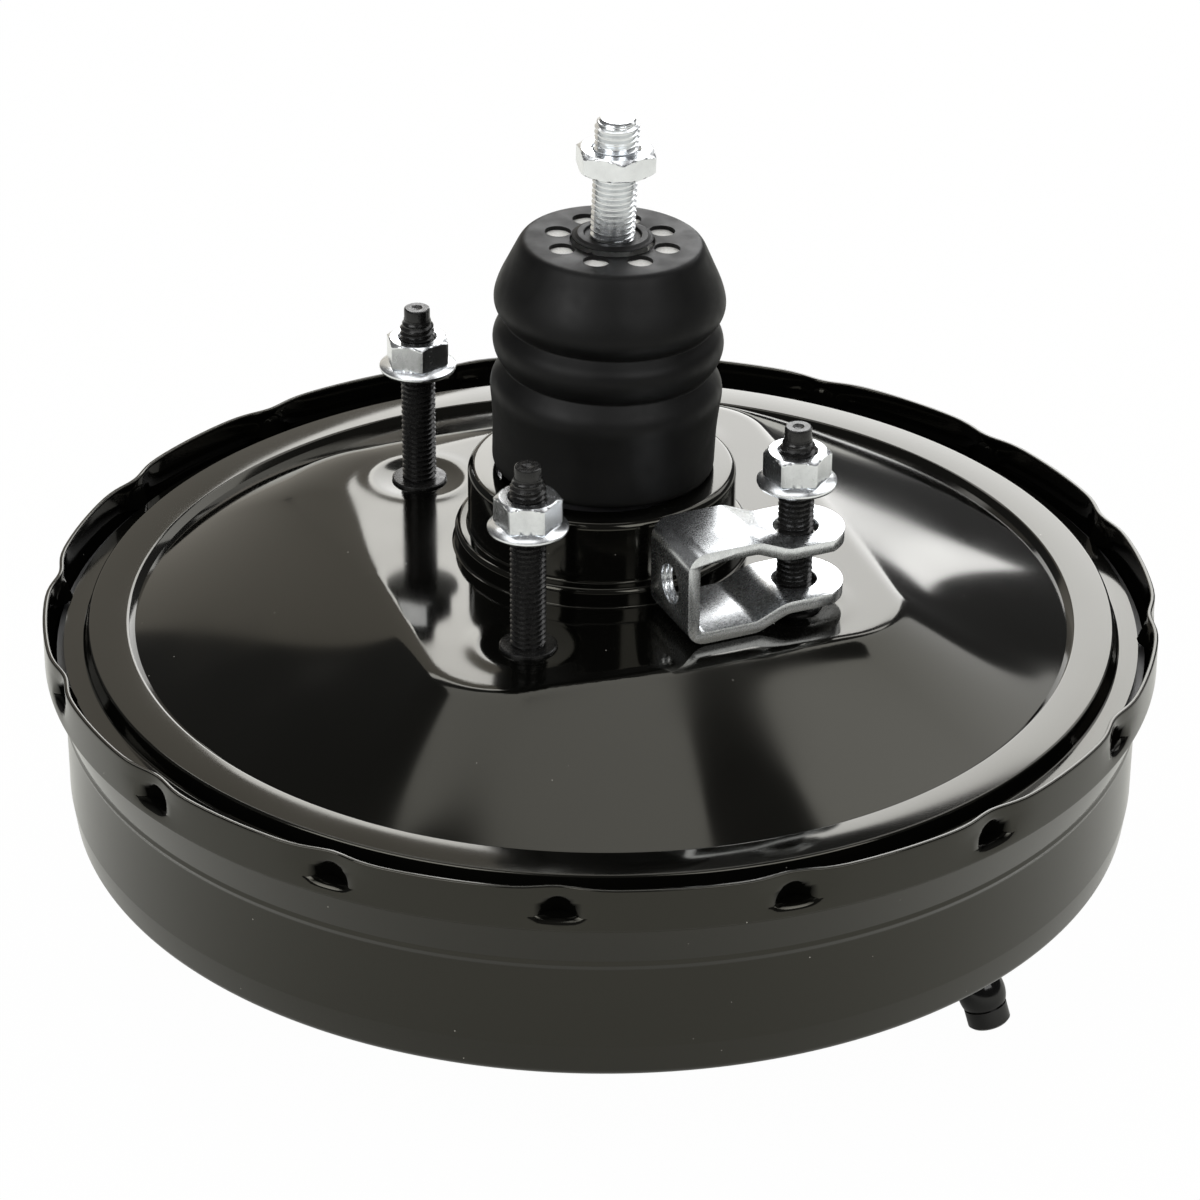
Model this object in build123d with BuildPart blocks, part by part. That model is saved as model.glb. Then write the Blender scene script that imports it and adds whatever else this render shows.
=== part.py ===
"""Vacuum brake booster, 9 inch, single diaphragm, pedal side up.

Frame: millimetres, origin at the centre of the rear mounting plateau, +Z towards
the pedal along the axis, X and Y along the sides of the stud rectangle.
Pieces: two shells crimped at the rim, the moving power piston with its diaphragm,
the control valve and input rod, the check valve, the fasteners and the clevis.
"""
from build123d import *
import os
from math import cos, radians, sin, sqrt, tan

# ---------------------------------------------------------------- driving sizes
# shells
sheet = 1.5                 # rear shell steel
front_sheet = 1.4           # front shell steel
lip_radius = 126.0          # outside of the crimped lip
lip_top = -14.2             # open edge of the lip
lip_foot = -23.8            # where the lip turns in to the shoulder
lip_step = 7.0              # how far the lip stands out from the front shell's wall
shoulder_foot = -33.5       # where the shoulder meets the wall
front_face = -68.0          # outside of the front shell's flat
front_corner = 12.0         # outside corner radius, wall to front flat
shoulder_round, lip_round = 4.0, 2.5
boss_face = -82.0           # master cylinder's mounting face
boss_radius = 54.0          # flat of that face
front_flat = 39.0           # from the wall's outside to the foot of the boss's cone
boss_round, spigot_round = 6.0, 2.5
spigot_radius = 21.5        # pocket for the master cylinder's spigot
spigot_floor = -70.0        # outside of the pocket's floor
floor_hole = 12.0           # hole in that floor, for the seal round the output rod
flange_top = -20.5          # rear shell's rim flange, upper face
ring_top = -16.5            # raised band inside the rim
rim_channel = 10.0          # from the lip's outside to the band
band_width = 9.0
dome_start = 44.0           # where the plateau rounds off into the dome
dome_foot, band_step = -17.9, 1.5   # the dome ends this low, this far inside the band
dome_rise = 1.1             # how far the dome bulges above a straight cone
plateau_x, plateau_y = 54.0, 60.0   # half sizes of the mounting plateau
plateau_corner = 17.0
plateau_draft = 56.0        # slope of the plateau's flanks from the vertical, degrees
plateau_depth = 15.5        # how far the flanks are drawn before they meet the dome
plateau_edge = 2.5          # rounding of the plateau's edge
# crimps
crimp_count = 16
crimp_ball = 7.0            # radius of the punch that sets each crimp
crimp_depth = 2.7
# neck of the rear shell
cuff_room, neck_lip = 4.5, 6.0       # round the piston's tail, and the turned-in lip beyond it
neck_top = 19.2
neck_step, neck_base_top = 3.0, 4.6  # the neck's wider foot
# pedal side fasteners
stud_x, stud_y = 30.5, 41.5         # half spacings of the four studs
stud_crest = 3.93                   # M8 thread, crest radius
stud_pitch = 3.6                    # M8 thread, pitch radius, where a nut runs
stud_shank = 4.2                    # knurled shank pressed into the shell and plate
shank_fit = 0.05
stud_top = 43.2
stud_tip_radius, stud_tip = 2.95, 4.3
stud_head_radius, stud_head = 6.5, 3.0
stud_collar_radius, stud_collar = 6.3, 0.4
plate_thickness = 2.5               # both reinforcement plates
nut_flats, nut_height = 13.0, 8.0
nut_flange_radius, nut_flange = 8.75, 1.3
nut_seat = 28.0                     # underside of the nuts as delivered
clevis_nut_seat = 29.5              # the one above the clevis stands higher
thread_gap = 0.03                   # nut bore over thread, radial
# master cylinder side
cylinder_stud_x = 40.0
cylinder_stud_length = 24.0
# power piston
tail_radius = 19.5
tail_end = 69.8
tail_fit = 0.06                     # radial, tail in its guide bush
stroke = 30.0
hub_radius, hub_top = 26.0, -8.0
hub_flange_radius = 34.0
hub_front = -18.0
nose_radius, nose_front = 22.0, -30.0
reaction_radius, reaction_thickness = 13.0, 5.0
disc_recess = 3.2                   # the reaction disc lies this far into the hub
disc_fit = 0.05                     # radial, discs and plungers in their bores
plate_sheet = 1.5                   # diaphragm plate
plate_seat = -12.1                  # front face of the plate's flat centre
plate_flat = 62.0                   # radius where the plate starts to cone
fold_room = 17.6                    # between the plate's rim and the shell's wall
plate_rim_z, plate_skirt = -22.4, 9.0
rubber = 1.8                        # diaphragm
roll_depth = 12.0                   # depth of the rolling fold beyond the plate's rim
spring_wire, spring_radius, spring_turns = 3.2, 30.0, 5
output_radius, output_end = 5.0, -96.0
output_head_radius = 12.0
tip_radius, tip_length = 4.2, 9.0
# control valve and input rod
pivot = 14.0                        # centre of the input rod's ball
ball_radius, ball_fit = 5.0, 0.06
lean = 2.0                          # the rod stands this far off the axis, degrees
swing_out = 1.0                     # and may lean this much further
tail_wall, filter_step = 4.5, 0.6
tail_narrowing, tail_taper = 2.3, 11.0  # the tail narrows towards its end
plunger_radius, plunger_bore_top = 8.0, 20.0
plunger_travel = 2.0
key_thickness, key_width, key_seat = 2.4, 15.0, -3.0
poppet_seat = 22.5
poppet_height, poppet_fold, holder_height = 14.0, 4.6, 3.0
poppet_wire, return_wire = 0.9, 1.3
felt_thickness, felt_proud = 3.6, 0.8
rod_neck_radius = 4.3
rod_crest = 4.92                    # M10 thread, crest radius
rod_pitch = 4.5                     # M10 thread, pitch radius, where the nut runs
rod_thread_start = 60.0             # distances along the rod from its ball
rod_nut_inset = 6.8                 # from the nut's upper face to the rod's end
rod_length = 87.6
rod_nut_flats, rod_nut_height = 16.0, 5.2
rod_collar_radius, rod_collar, rod_collar_thickness = 11.5, 44.0, 1.5
# boot
boot_wall = 1.8
boot_top = 59.2                     # distance of its end face from the ball
boot_flat = 19.0
boot_lip_radius, boot_hole, boot_lip = 7.7, 6.3, 1.4
vent_count, vent_ring, vent_radius = 8, 12.4, 2.9
# clevis
clevis_plate = 2.75
clevis_low = 0.3                    # its lower arm over the plateau
clevis_height = 22.0
clevis_reach = 30.0                 # web's outer face to the pin's axis
clevis_ear_gap = 10.3
clevis_ear_radius = 10.7
clevis_half_width = 9.65
clevis_pin_hole = 5.1
clevis_thread = 4.5
clevis_turn = 5.3                   # the clevis as it lies on its stud, degrees
# check valve
valve_inset, valve_angle = 25.5, -46.3  # from the wall's outside, and its direction
valve_cup_radius, valve_cup_top, valve_cup_foot = 8.6, -70.6, -78.0
valve_stem_radius, valve_stem_top = 6.5, -63.0
valve_seat_thickness = 2.0
nozzle_tilt, nozzle_length = 18.0, 21.8 # degrees outwards, and its length below the cup
nozzle_neck, nozzle_bulb, nozzle_barrel = 4.5, 5.45, 4.9    # radii
barrel_length, bulb_length, nozzle_groove, nozzle_bore = 4.4, 7.0, 0.4, 2.6
check_disc_radius, check_disc, check_travel = 5.2, 1.4, 1.5

# ---------------------------------------------------------------- derived sizes
gap = 0.3                                   # between curved faces of moving pieces
wall_radius = lip_radius - lip_step         # outside of the front shell's wall
boss_root = wall_radius - front_flat
ring_outer = lip_radius - rim_channel
ring_inner = ring_outer - band_width
dome_end = ring_inner - band_step
neck_hole = tail_radius + cuff_room
neck_radius = neck_hole + neck_lip
neck_base_radius = neck_radius + neck_step
valve_bore = tail_radius - tail_wall
filter_bore = valve_bore + filter_step
tail_end_radius = tail_radius - tail_narrowing
plate_rim = wall_radius - front_sheet - fold_room
front_inside = boss_face + front_sheet      # inside of the master cylinder's face
rear_inside = -sheet                        # underside of the plateau
plate_under = rear_inside - plate_thickness
rod_axis = Vector(sin(radians(lean)), 0, cos(radians(lean)))
rod_plane = Plane(origin=(0, 0, pivot), x_dir=(cos(radians(lean)), 0, -sin(radians(lean))), z_dir=rod_axis)
stud_places = [(stud_x, -stud_y), (-stud_x, -stud_y), (-stud_x, stud_y), (stud_x, stud_y)]
nut_seats = [clevis_nut_seat, nut_seat, nut_seat, nut_seat]
rod_sway = tan(radians(lean + swing_out))   # sideways reach of the rod per mm above its ball
rod_nut_seat = rod_length - rod_nut_inset - rod_nut_height
collar_swing = rod_collar_radius * sin(radians(lean + swing_out))
filter_seat = pivot + rod_collar + rod_collar_thickness + collar_swing + gap
disc_seat = hub_front - disc_recess
valve_ring = wall_radius - valve_inset
check_place = (valve_ring * cos(radians(valve_angle)), valve_ring * sin(radians(valve_angle)))

os.makedirs("parts", exist_ok=True)


def outline(*points):
    """A closed outline in the radius-height plane."""
    with BuildSketch(Plane.XZ) as drawn:
        with BuildLine():
            Polyline(*points, close=True)
        make_face()
    return drawn.sketch


def sheet_outline(points, radii, thickness, side):
    """A strip of even thickness along a rounded line in the radius-height plane."""
    with BuildSketch(Plane.XZ) as drawn:
        with BuildLine():
            FilletPolyline(*points, radius=radii)
            offset(amount=thickness, side=side)
        make_face()
    return drawn.sketch


def ring(inner, outer, low, high):
    """The outline of a plain ring."""
    return outline((inner, low), (outer, low), (outer, high), (inner, high))


def save(part, name):
    part.label = name
    export_step(part, f"parts/{name}.step")


# ---------------------------------------------------------------- shells
def crimp_ball_half(radius):
    """The upper half of the punch's ball, grown to a radius, where it bites into the lip."""
    centre = lip_radius + crimp_ball - crimp_depth
    with BuildPart() as ball:
        with BuildSketch(Plane.XZ):
            with Locations((centre, flange_top + 0.1)):
                Circle(radius)
                Rectangle(4 * radius, 2 * radius, align=(Align.CENTER, Align.MAX), mode=Mode.SUBTRACT)
                Rectangle(2 * radius, 4 * radius, align=(Align.MIN, Align.CENTER), mode=Mode.SUBTRACT)
        revolve(axis=Axis((centre, 0, 0), (0, 0, 1)))
    return ball.part


with BuildPart() as crimp_tongue:
    add(crimp_ball_half(crimp_ball + front_sheet))
    revolve(ring(lip_radius - 3 * crimp_depth, lip_radius - 0.2, flange_top, lip_top), axis=Axis.Z,
            mode=Mode.INTERSECT)

with BuildPart() as front_shell:
    revolve(
        sheet_outline(
            [
                (floor_hole, spigot_floor),
                (spigot_radius, spigot_floor),
                (spigot_radius, boss_face),
                (boss_radius, boss_face),
                (boss_root, front_face),
                (wall_radius, front_face),
                (wall_radius + 0.4, shoulder_foot),
                (lip_radius, lip_foot),
                (lip_radius, lip_top),
            ],
            [spigot_round, spigot_round, boss_round, boss_round, front_corner, shoulder_round, lip_round],
            front_sheet,
            Side.LEFT,
        ),
        axis=Axis.Z,
    )
    with PolarLocations(0, crimp_count):
        add(crimp_tongue.part)
    with PolarLocations(0, crimp_count):
        add(crimp_ball_half(crimp_ball), mode=Mode.SUBTRACT)
    with Locations((cylinder_stud_x, 0, front_inside), (-cylinder_stud_x, 0, front_inside)):
        Hole(stud_shank + shank_fit, depth=2 * front_sheet)
    with Locations((*check_place, front_face + front_sheet)):
        Hole(valve_stem_radius + 2.0, depth=2 * front_sheet)
save(front_shell.part, "front_shell")


def dome_height(radius):
    """Height of the dome's outer face at a radius, on its three point arc."""
    return dome_foot * (radius - dome_start) / (dome_end - dome_start)


def rear_form(inset):
    """The rear shell's solid form: dome, plateau and rim band, set in by the sheet."""
    middle = (dome_start + dome_end) / 2
    with BuildPart() as form:
        with BuildSketch(Plane.XZ):
            with BuildLine():
                Polyline((0, flange_top - 20), (0, -inset), (dome_start, -inset))
                ThreePointArc(
                    (dome_start, -inset),
                    (middle, dome_height(middle) + dome_rise - inset),
                    (dome_end, dome_foot - inset),
                )
                Polyline(
                    (dome_end, dome_foot - inset),
                    (ring_inner + inset, ring_top - inset),
                    (ring_outer - inset, ring_top - inset),
                    (ring_outer - inset + 0.8, flange_top - inset),
                    (ring_outer - inset + 0.8, flange_top - 20),
                    (0, flange_top - 20),
                )
            make_face()
        revolve(axis=Axis.Z)
        with BuildSketch(Plane.XY.offset(-inset)):
            RectangleRounded(2 * plateau_x - inset, 2 * plateau_y - inset, plateau_corner - inset / 2)
        extrude(amount=-(plateau_depth - inset), taper=-plateau_draft)
    return form.part


with BuildPart() as rear_shell:
    add(rear_form(0))
    fillet(rear_shell.edges().filter_by_position(Axis.Z, -0.01, 0.01).filter_by(
        lambda edge: edge.center().X ** 2 + edge.center().Y ** 2 > dome_start ** 2), radius=plateau_edge)
    add(rear_form(sheet), mode=Mode.SUBTRACT)
    with BuildSketch(Plane.XY.offset(flange_top - 20)):
        Circle(2 * lip_radius)
    extrude(amount=20 - sheet, mode=Mode.SUBTRACT)
    revolve(ring(ring_outer - sheet, lip_radius - front_sheet - 0.1, flange_top - sheet, flange_top),
            axis=Axis.Z)
    revolve(outline((0, -2 * sheet), (neck_base_radius - sheet, -2 * sheet),
                    (neck_base_radius - sheet, sheet), (0, sheet)), axis=Axis.Z, mode=Mode.SUBTRACT)
    revolve(
        sheet_outline(
            [
                (neck_base_radius, -sheet),
                (neck_base_radius, neck_base_top),
                (neck_radius, neck_base_top),
                (neck_radius, neck_top),
                (neck_hole, neck_top),
            ],
            [1.4, 0.6, 2.0],
            sheet,
            Side.LEFT,
        ),
        axis=Axis.Z,
    )
    with Locations([(x, y, 0) for x, y in stud_places]):
        Hole(stud_shank + shank_fit, depth=2 * sheet)
save(rear_shell.part, "rear_shell")


# ---------------------------------------------------------------- stiffening plates and fasteners
with BuildPart() as rear_plate:
    with BuildSketch(Plane.XY.offset(plate_under)):
        RectangleRounded(2 * (plateau_x - 4), 2 * (plateau_y - 4), plateau_corner - 4)
        Circle(neck_base_radius - 1, mode=Mode.SUBTRACT)
        with Locations(stud_places):
            Circle(stud_shank + shank_fit, mode=Mode.SUBTRACT)
    extrude(amount=plate_thickness)
save(rear_plate.part, "rear_plate")

with BuildPart() as front_plate:
    with BuildSketch(Plane.XY.offset(front_inside)):
        Circle(boss_radius - 2)
        Circle(spigot_radius + 2 * front_sheet, mode=Mode.SUBTRACT)
        with Locations((cylinder_stud_x, 0), (-cylinder_stud_x, 0)):
            Circle(stud_shank + shank_fit, mode=Mode.SUBTRACT)
    extrude(amount=plate_thickness)
save(front_plate.part, "front_plate")


def stud_outline(seat):
    """A welded stud's half outline: head, grip, nut's thread, free thread and dog point."""
    thread_end = stud_top - stud_tip
    return outline(
        (0, plate_under - stud_head),
        (stud_head_radius, plate_under - stud_head),
        (stud_head_radius, plate_under),
        (stud_shank, plate_under),
        (stud_shank, 0),
        (stud_collar_radius, 0),
        (stud_collar_radius, stud_collar),
        (stud_crest, stud_collar),
        (stud_crest, seat - 0.2),
        (stud_pitch, seat),
        (stud_pitch, seat + nut_height),
        (stud_crest - 0.1, seat + nut_height + 0.2),
        (stud_tip_radius + 0.2, max(thread_end, seat + nut_height + 0.8)),
        (stud_tip_radius, max(thread_end, seat + nut_height + 0.8) + 0.2),
        (stud_tip_radius, stud_top - 0.4),
        (stud_tip_radius - 0.4, stud_top),
        (0, stud_top),
    )


with BuildPart() as firewall_studs:
    for place, seat in zip(stud_places, nut_seats):
        with Locations((*place, 0)):
            add(revolve(stud_outline(seat), axis=Axis.Z, mode=Mode.PRIVATE))
save(firewall_studs.part, "firewall_studs")


def flange_nut(seat):
    """Hexagon flange nut standing on its seat height."""
    corner = nut_flats / 2 / cos(radians(30))
    with BuildPart() as nut:
        with BuildSketch(Plane.XY.offset(seat)):
            RegularPolygon(nut_flats / 2, 6, major_radius=False)
        extrude(amount=nut_height)
        revolve(outline((0, seat), (nut_flats / 2, seat), (corner + 1, seat + 2),
                        (corner + 1, seat + nut_height - 1.2), (corner - 1.4, seat + nut_height),
                        (0, seat + nut_height)), axis=Axis.Z, mode=Mode.INTERSECT)
        revolve(outline((0, seat), (nut_flange_radius, seat), (nut_flange_radius, seat + nut_flange - 0.4),
                        (nut_flats / 2, seat + nut_flange + 0.8), (0, seat + nut_flange + 0.8)), axis=Axis.Z)
        with Locations((0, 0, seat + nut_height)):
            Hole(stud_pitch + thread_gap, depth=nut_height)
    return nut.part


with BuildPart() as firewall_nuts:
    for place, seat in zip(stud_places, nut_seats):
        with Locations((*place, 0)):
            add(flange_nut(seat))
save(firewall_nuts.part, "firewall_nuts")

with BuildPart() as cylinder_studs:
    with Locations((cylinder_stud_x, 0, 0), (-cylinder_stud_x, 0, 0)):
        add(revolve(
            outline(
                (0, front_inside + plate_thickness + stud_head),
                (stud_head_radius, front_inside + plate_thickness + stud_head),
                (stud_head_radius, front_inside + plate_thickness),
                (stud_shank, front_inside + plate_thickness),
                (stud_shank, boss_face),
                (stud_crest, boss_face - 0.3),
                (stud_crest, boss_face - cylinder_stud_length + 1),
                (stud_crest - 1, boss_face - cylinder_stud_length),
                (0, boss_face - cylinder_stud_length),
            ),
            axis=Axis.Z,
            mode=Mode.PRIVATE,
        ))
save(cylinder_studs.part, "cylinder_studs")

# ---------------------------------------------------------------- neck: guide bush, seal and retainer
neck_bore = neck_radius - sheet
bush_foot, bush_top, seal_top, retainer_top = 1.0, 6.0, 14.0, neck_top - sheet

with BuildPart() as guide_bush:
    revolve(outline((tail_radius + tail_fit, bush_foot), (neck_bore, bush_foot), (neck_bore, bush_top),
                    (tail_radius + tail_fit, bush_top)), axis=Axis.Z)
save(guide_bush.part, "guide_bush")

with BuildPart() as tail_seal:
    revolve(outline((tail_radius + gap, bush_top + 1.6), (tail_radius + 1.6, bush_top), (neck_bore, bush_top),
                    (neck_bore, seal_top), (neck_bore - 2.4, seal_top), (neck_bore - 3.6, bush_top + 3),
                    (tail_radius + 2.2, bush_top + 3), (tail_radius + gap, bush_top + 4.4)), axis=Axis.Z)
save(tail_seal.part, "tail_seal")

with BuildPart() as seal_retainer:
    revolve(ring(neck_hole - 1.5, neck_bore, seal_top, retainer_top - 2.2), axis=Axis.Z)
save(seal_retainer.part, "seal_retainer")

# ---------------------------------------------------------------- power piston
with BuildPart() as valve_body:
    revolve(
        outline(
            (plunger_radius + disc_fit, hub_front),
            (plunger_radius + disc_fit, plunger_bore_top - 2.5),
            (plunger_radius + 2.6, plunger_bore_top - 2.5),
            (plunger_radius + 2.6, poppet_seat - 1.0),
            (plunger_radius + 3.6, poppet_seat - 0.3),
            (plunger_radius + 4.4, poppet_seat - 1.0),
            (valve_bore, poppet_seat - 1.0),
            (valve_bore, filter_seat),
            (filter_bore, filter_seat),
            (filter_bore, tail_end),
            (tail_end_radius, tail_end),
            (tail_end_radius, tail_end - 4),
            (tail_radius, tail_end - tail_taper),
            (tail_radius, hub_top + 2),
            (hub_radius, hub_top),
            (hub_radius, plate_seat),
            (hub_flange_radius, plate_seat),
            (hub_flange_radius, hub_front),
            (nose_radius, hub_front),
            (nose_radius, nose_front),
            (reaction_radius + disc_fit, nose_front),
            (reaction_radius + disc_fit, hub_front - 3),
            (plunger_radius + disc_fit, hub_front - 3),
        ),
        axis=Axis.Z,
    )
    # slot for the key that stops the plunger
    with BuildSketch(Plane.XY.offset(key_seat - key_thickness - 0.1)):
        Rectangle(hub_radius + 8, key_width + 0.4, align=(Align.MIN, Align.CENTER))
    extrude(amount=key_thickness + 0.2, mode=Mode.SUBTRACT)
    # vacuum passages beside the plunger
    with Locations((0, 0, poppet_seat - 1.0)):
        with PolarLocations((valve_bore + plunger_radius + 4.4) / 2, 4, start_angle=45):
            Hole(1.2, depth=poppet_seat - hub_front + 1)
save(valve_body.part, "valve_body")

rim_rise = plate_seat + plate_sheet
plate_line = [(hub_radius + 0.1, plate_seat), (plate_flat, plate_seat), (plate_rim, plate_rim_z),
              (plate_rim, plate_rim_z - plate_skirt)]
with BuildPart() as diaphragm_plate:
    revolve(sheet_outline(plate_line, [12, 4], plate_sheet, Side.LEFT), axis=Axis.Z)
save(diaphragm_plate.part, "diaphragm_plate")

skin = plate_rim + plate_sheet + gap
bead_inner = ring_outer - 1.0
fold_round = min(5.0, 0.45 * (bead_inner - skin))
bead_outer = lip_radius - 2 * front_sheet
with BuildPart() as diaphragm:
    revolve(
        sheet_outline(
            [
                (hub_radius + 0.1, rim_rise + 0.05),
                (plate_flat, rim_rise + 0.05),
                (skin, plate_rim_z + 1.2),
                (skin, plate_rim_z - roll_depth),
                (bead_inner, plate_rim_z - roll_depth),
                (bead_inner, flange_top - sheet - 2.2),
            ],
            [12, 4, fold_round, fold_round],
            rubber,
            Side.LEFT,
        ),
        axis=Axis.Z,
    )
    revolve(ring(bead_inner - rubber + 0.4, bead_outer, flange_top - sheet - 4.6, flange_top - sheet),
            axis=Axis.Z)
    add(front_shell.part, mode=Mode.SUBTRACT)
save(diaphragm.part, "diaphragm")

with BuildPart() as reaction_disc:
    with Locations((0, 0, disc_seat)):
        Cylinder(reaction_radius, reaction_thickness, align=(Align.CENTER, Align.CENTER, Align.MAX))
save(reaction_disc.part, "reaction_disc")

output_seat = disc_seat - reaction_thickness - 0.1
with BuildPart() as output_rod:
    revolve(
        outline(
            (0, output_seat),
            (output_head_radius, output_seat),
            (output_head_radius, output_seat - 3),
            (output_radius + 1.5, output_seat - 3),
            (output_radius + 1.5, nose_front - 3),
            (output_radius, nose_front - 5),
            (output_radius, output_end + tip_length),
            (0, output_end + tip_length),
        ),
        axis=Axis.Z,
    )
    with Locations((0, 0, output_end + tip_length)):
        with Locations(Rotation(180, 0, 0)):
            Hole(2.6, depth=14)
save(output_rod.part, "output_rod")

with BuildPart() as output_tip:
    revolve(
        outline((0, output_end + tip_length + 11), (2.55, output_end + tip_length + 11),
                (2.55, output_end + tip_length), (tip_radius, output_end + tip_length),
                (tip_radius, output_end + 3), (2.4, output_end), (0, output_end)),
        axis=Axis.Z,
    )
save(output_tip.part, "output_tip")

with BuildPart() as rod_retainer:
    revolve(ring(output_radius + 2.2, nose_radius - 1, nose_front - 1.2, nose_front), axis=Axis.Z)
save(rod_retainer.part, "rod_retainer")


def coil(radius, wire, turns, low, high, name):
    """A closed-ended round wire spring between two seats."""
    rise = (high - low - wire) / turns
    with BuildPart() as spring:
        with BuildLine():
            path = Helix(rise, rise * turns, radius, center=(0, 0, low + wire / 2))
        with BuildSketch(Plane(origin=path @ 0, z_dir=path % 0)):
            Circle(wire / 2)
        sweep(path=path)
    save(spring.part, name)


coil(spring_radius, spring_wire, spring_turns, front_inside + plate_thickness + 0.1, hub_front - 0.1,
     "main_return_spring")

# ---------------------------------------------------------------- control valve
with BuildPart() as plunger:
    revolve(
        outline(
            (0, disc_seat + plunger_travel + gap),
            (plunger_radius - 3, disc_seat + plunger_travel + gap),
            (plunger_radius - 3, hub_front + 2),
            (plunger_radius, hub_front + 3.5),
            (plunger_radius, key_seat - key_thickness - plunger_travel - 0.6),
            (plunger_radius - 2.6, key_seat - key_thickness - plunger_travel - 0.6),
            (plunger_radius - 2.6, key_seat + plunger_travel + 0.4),
            (plunger_radius, key_seat + plunger_travel + 0.4),
            (plunger_radius, plunger_bore_top),
            (plunger_radius + 1.2, poppet_seat - 1.2),
            (plunger_radius + 1.2, poppet_seat - 0.3),
            (plunger_radius + 0.2, poppet_seat - 0.3),
            (plunger_radius - 1.2, pivot + 3.2),
            (0, pivot + 3.2),
        ),
        axis=Axis.Z,
    )
    with Locations((0, 0, pivot)):
        Sphere(ball_radius + ball_fit, mode=Mode.SUBTRACT)
    revolve(outline((0, pivot), (ball_radius - 0.2, pivot + 1.5), (ball_radius + 1.4, poppet_seat),
                    (0, poppet_seat)), axis=Axis.Z, mode=Mode.SUBTRACT)
save(plunger.part, "plunger")

with BuildPart() as stop_key:
    with BuildSketch(Plane.XY.offset(key_seat - key_thickness)):
        with Locations((-plunger_radius, 0)):
            Rectangle(tail_radius + plunger_radius - 0.6, key_width, align=(Align.MIN, Align.CENTER))
        Circle(plunger_radius - 2.3, mode=Mode.SUBTRACT)
        with Locations((-2 * plunger_radius, 0)):
            Rectangle(2 * plunger_radius, 2 * (plunger_radius - 2.3), align=(Align.MIN, Align.CENTER),
                      mode=Mode.SUBTRACT)
        with Locations((-2 * plunger_radius - 0.1, 0)):
            Rectangle(2 * plunger_radius, 3 * plunger_radius, align=(Align.MIN, Align.CENTER),
                      mode=Mode.SUBTRACT)
    extrude(amount=key_thickness)
save(stop_key.part, "stop_key")

poppet_inner = plunger_radius - 1.0
with BuildPart() as poppet:
    revolve(
        outline(
            (poppet_inner, poppet_seat),
            (valve_bore - 1.4, poppet_seat),
            (valve_bore - 1.4, poppet_seat + 3),
            (valve_bore - 3.2, poppet_seat + 5),
            (valve_bore - 3.2, poppet_seat + poppet_height - 5),
            (valve_bore, poppet_seat + poppet_height - 3.5),
            (valve_bore, poppet_seat + poppet_height),
            (valve_bore - 2.6, poppet_seat + poppet_height),
            (valve_bore - poppet_fold, poppet_seat + poppet_height - 4),
            (valve_bore - poppet_fold, poppet_seat + 2.2),
            (poppet_inner, poppet_seat + 2.2),
        ),
        axis=Axis.Z,
    )
save(poppet.part, "poppet")

holder_foot = poppet_seat + poppet_height + 0.1
holder_top = holder_foot + holder_height - 0.1
holder_inner = valve_bore - poppet_fold - 0.2
with BuildPart() as poppet_holder:
    revolve(outline((holder_inner, holder_foot), (valve_bore, holder_foot), (valve_bore, holder_top),
                    (holder_inner - 1.2, holder_top), (holder_inner - 1.2, holder_top - 1.2),
                    (holder_inner, holder_top - 1.2)), axis=Axis.Z)
save(poppet_holder.part, "poppet_holder")

coil(poppet_inner + 2.0, poppet_wire, 5, poppet_seat + 2.3, holder_top - 1.3, "poppet_spring")

# ---------------------------------------------------------------- input rod, in its leaning plane
def rod_outline():
    """The input rod's half outline along its own axis, from the ball up."""
    neck = sqrt(ball_radius ** 2 - (rod_neck_radius - 0.8) ** 2)
    nut_end = rod_nut_seat + rod_nut_height
    with BuildSketch(Plane(rod_plane.origin, x_dir=rod_plane.x_dir, z_dir=-rod_plane.y_dir)) as drawn:
        with BuildLine():
            ThreePointArc((0, -ball_radius), (ball_radius, 0), (rod_neck_radius - 0.8, neck))
            Polyline(
                (rod_neck_radius - 0.8, neck),
                (rod_neck_radius, neck + 3),
                (rod_neck_radius, rod_thread_start - 0.8),
                (rod_crest, rod_thread_start),
                (rod_crest, rod_nut_seat - 0.2),
                (rod_pitch, rod_nut_seat),
                (rod_pitch, nut_end),
                (rod_crest, nut_end + 0.2),
                (rod_crest, rod_length - 1.2),
                (rod_crest - 1.2, rod_length),
                (0, rod_length),
                (0, -ball_radius),
            )
        make_face()
    return drawn.sketch


leaning_axis = Axis(rod_plane.origin, rod_plane.z_dir)
with BuildPart() as input_rod:
    revolve(rod_outline(), axis=leaning_axis)
save(input_rod.part, "input_rod")

with BuildPart() as rod_collar_washer:
    with BuildSketch(rod_plane.offset(rod_collar)):
        Circle(rod_collar_radius)
        Circle(rod_neck_radius + 0.02, mode=Mode.SUBTRACT)
    extrude(amount=rod_collar_thickness)
save(rod_collar_washer.part, "rod_collar")

with BuildPart() as lock_nut:
    with BuildSketch(rod_plane.offset(rod_nut_seat)):
        RegularPolygon(rod_nut_flats / 2, 6, major_radius=False, rotation=15)
        Circle(rod_pitch + thread_gap, mode=Mode.SUBTRACT)
    extrude(amount=rod_nut_height)
save(lock_nut.part, "lock_nut")

coil(valve_bore - 3.6, return_wire, 4, holder_top + 0.1, pivot + rod_collar - collar_swing - gap,
     "rod_return_spring")

# ---------------------------------------------------------------- air filter in the tail
filter_hole = (tail_end - pivot) * rod_sway + rod_crest + 0.5
with BuildPart() as filter_felt:
    revolve(ring(filter_hole, filter_bore, tail_end - felt_thickness, tail_end + felt_proud), axis=Axis.Z)
save(filter_felt.part, "filter_felt")

with BuildPart() as silencer:
    revolve(ring(filter_hole, filter_bore, filter_seat, tail_end - felt_thickness - 0.1), axis=Axis.Z)
save(silencer.part, "silencer")

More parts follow.
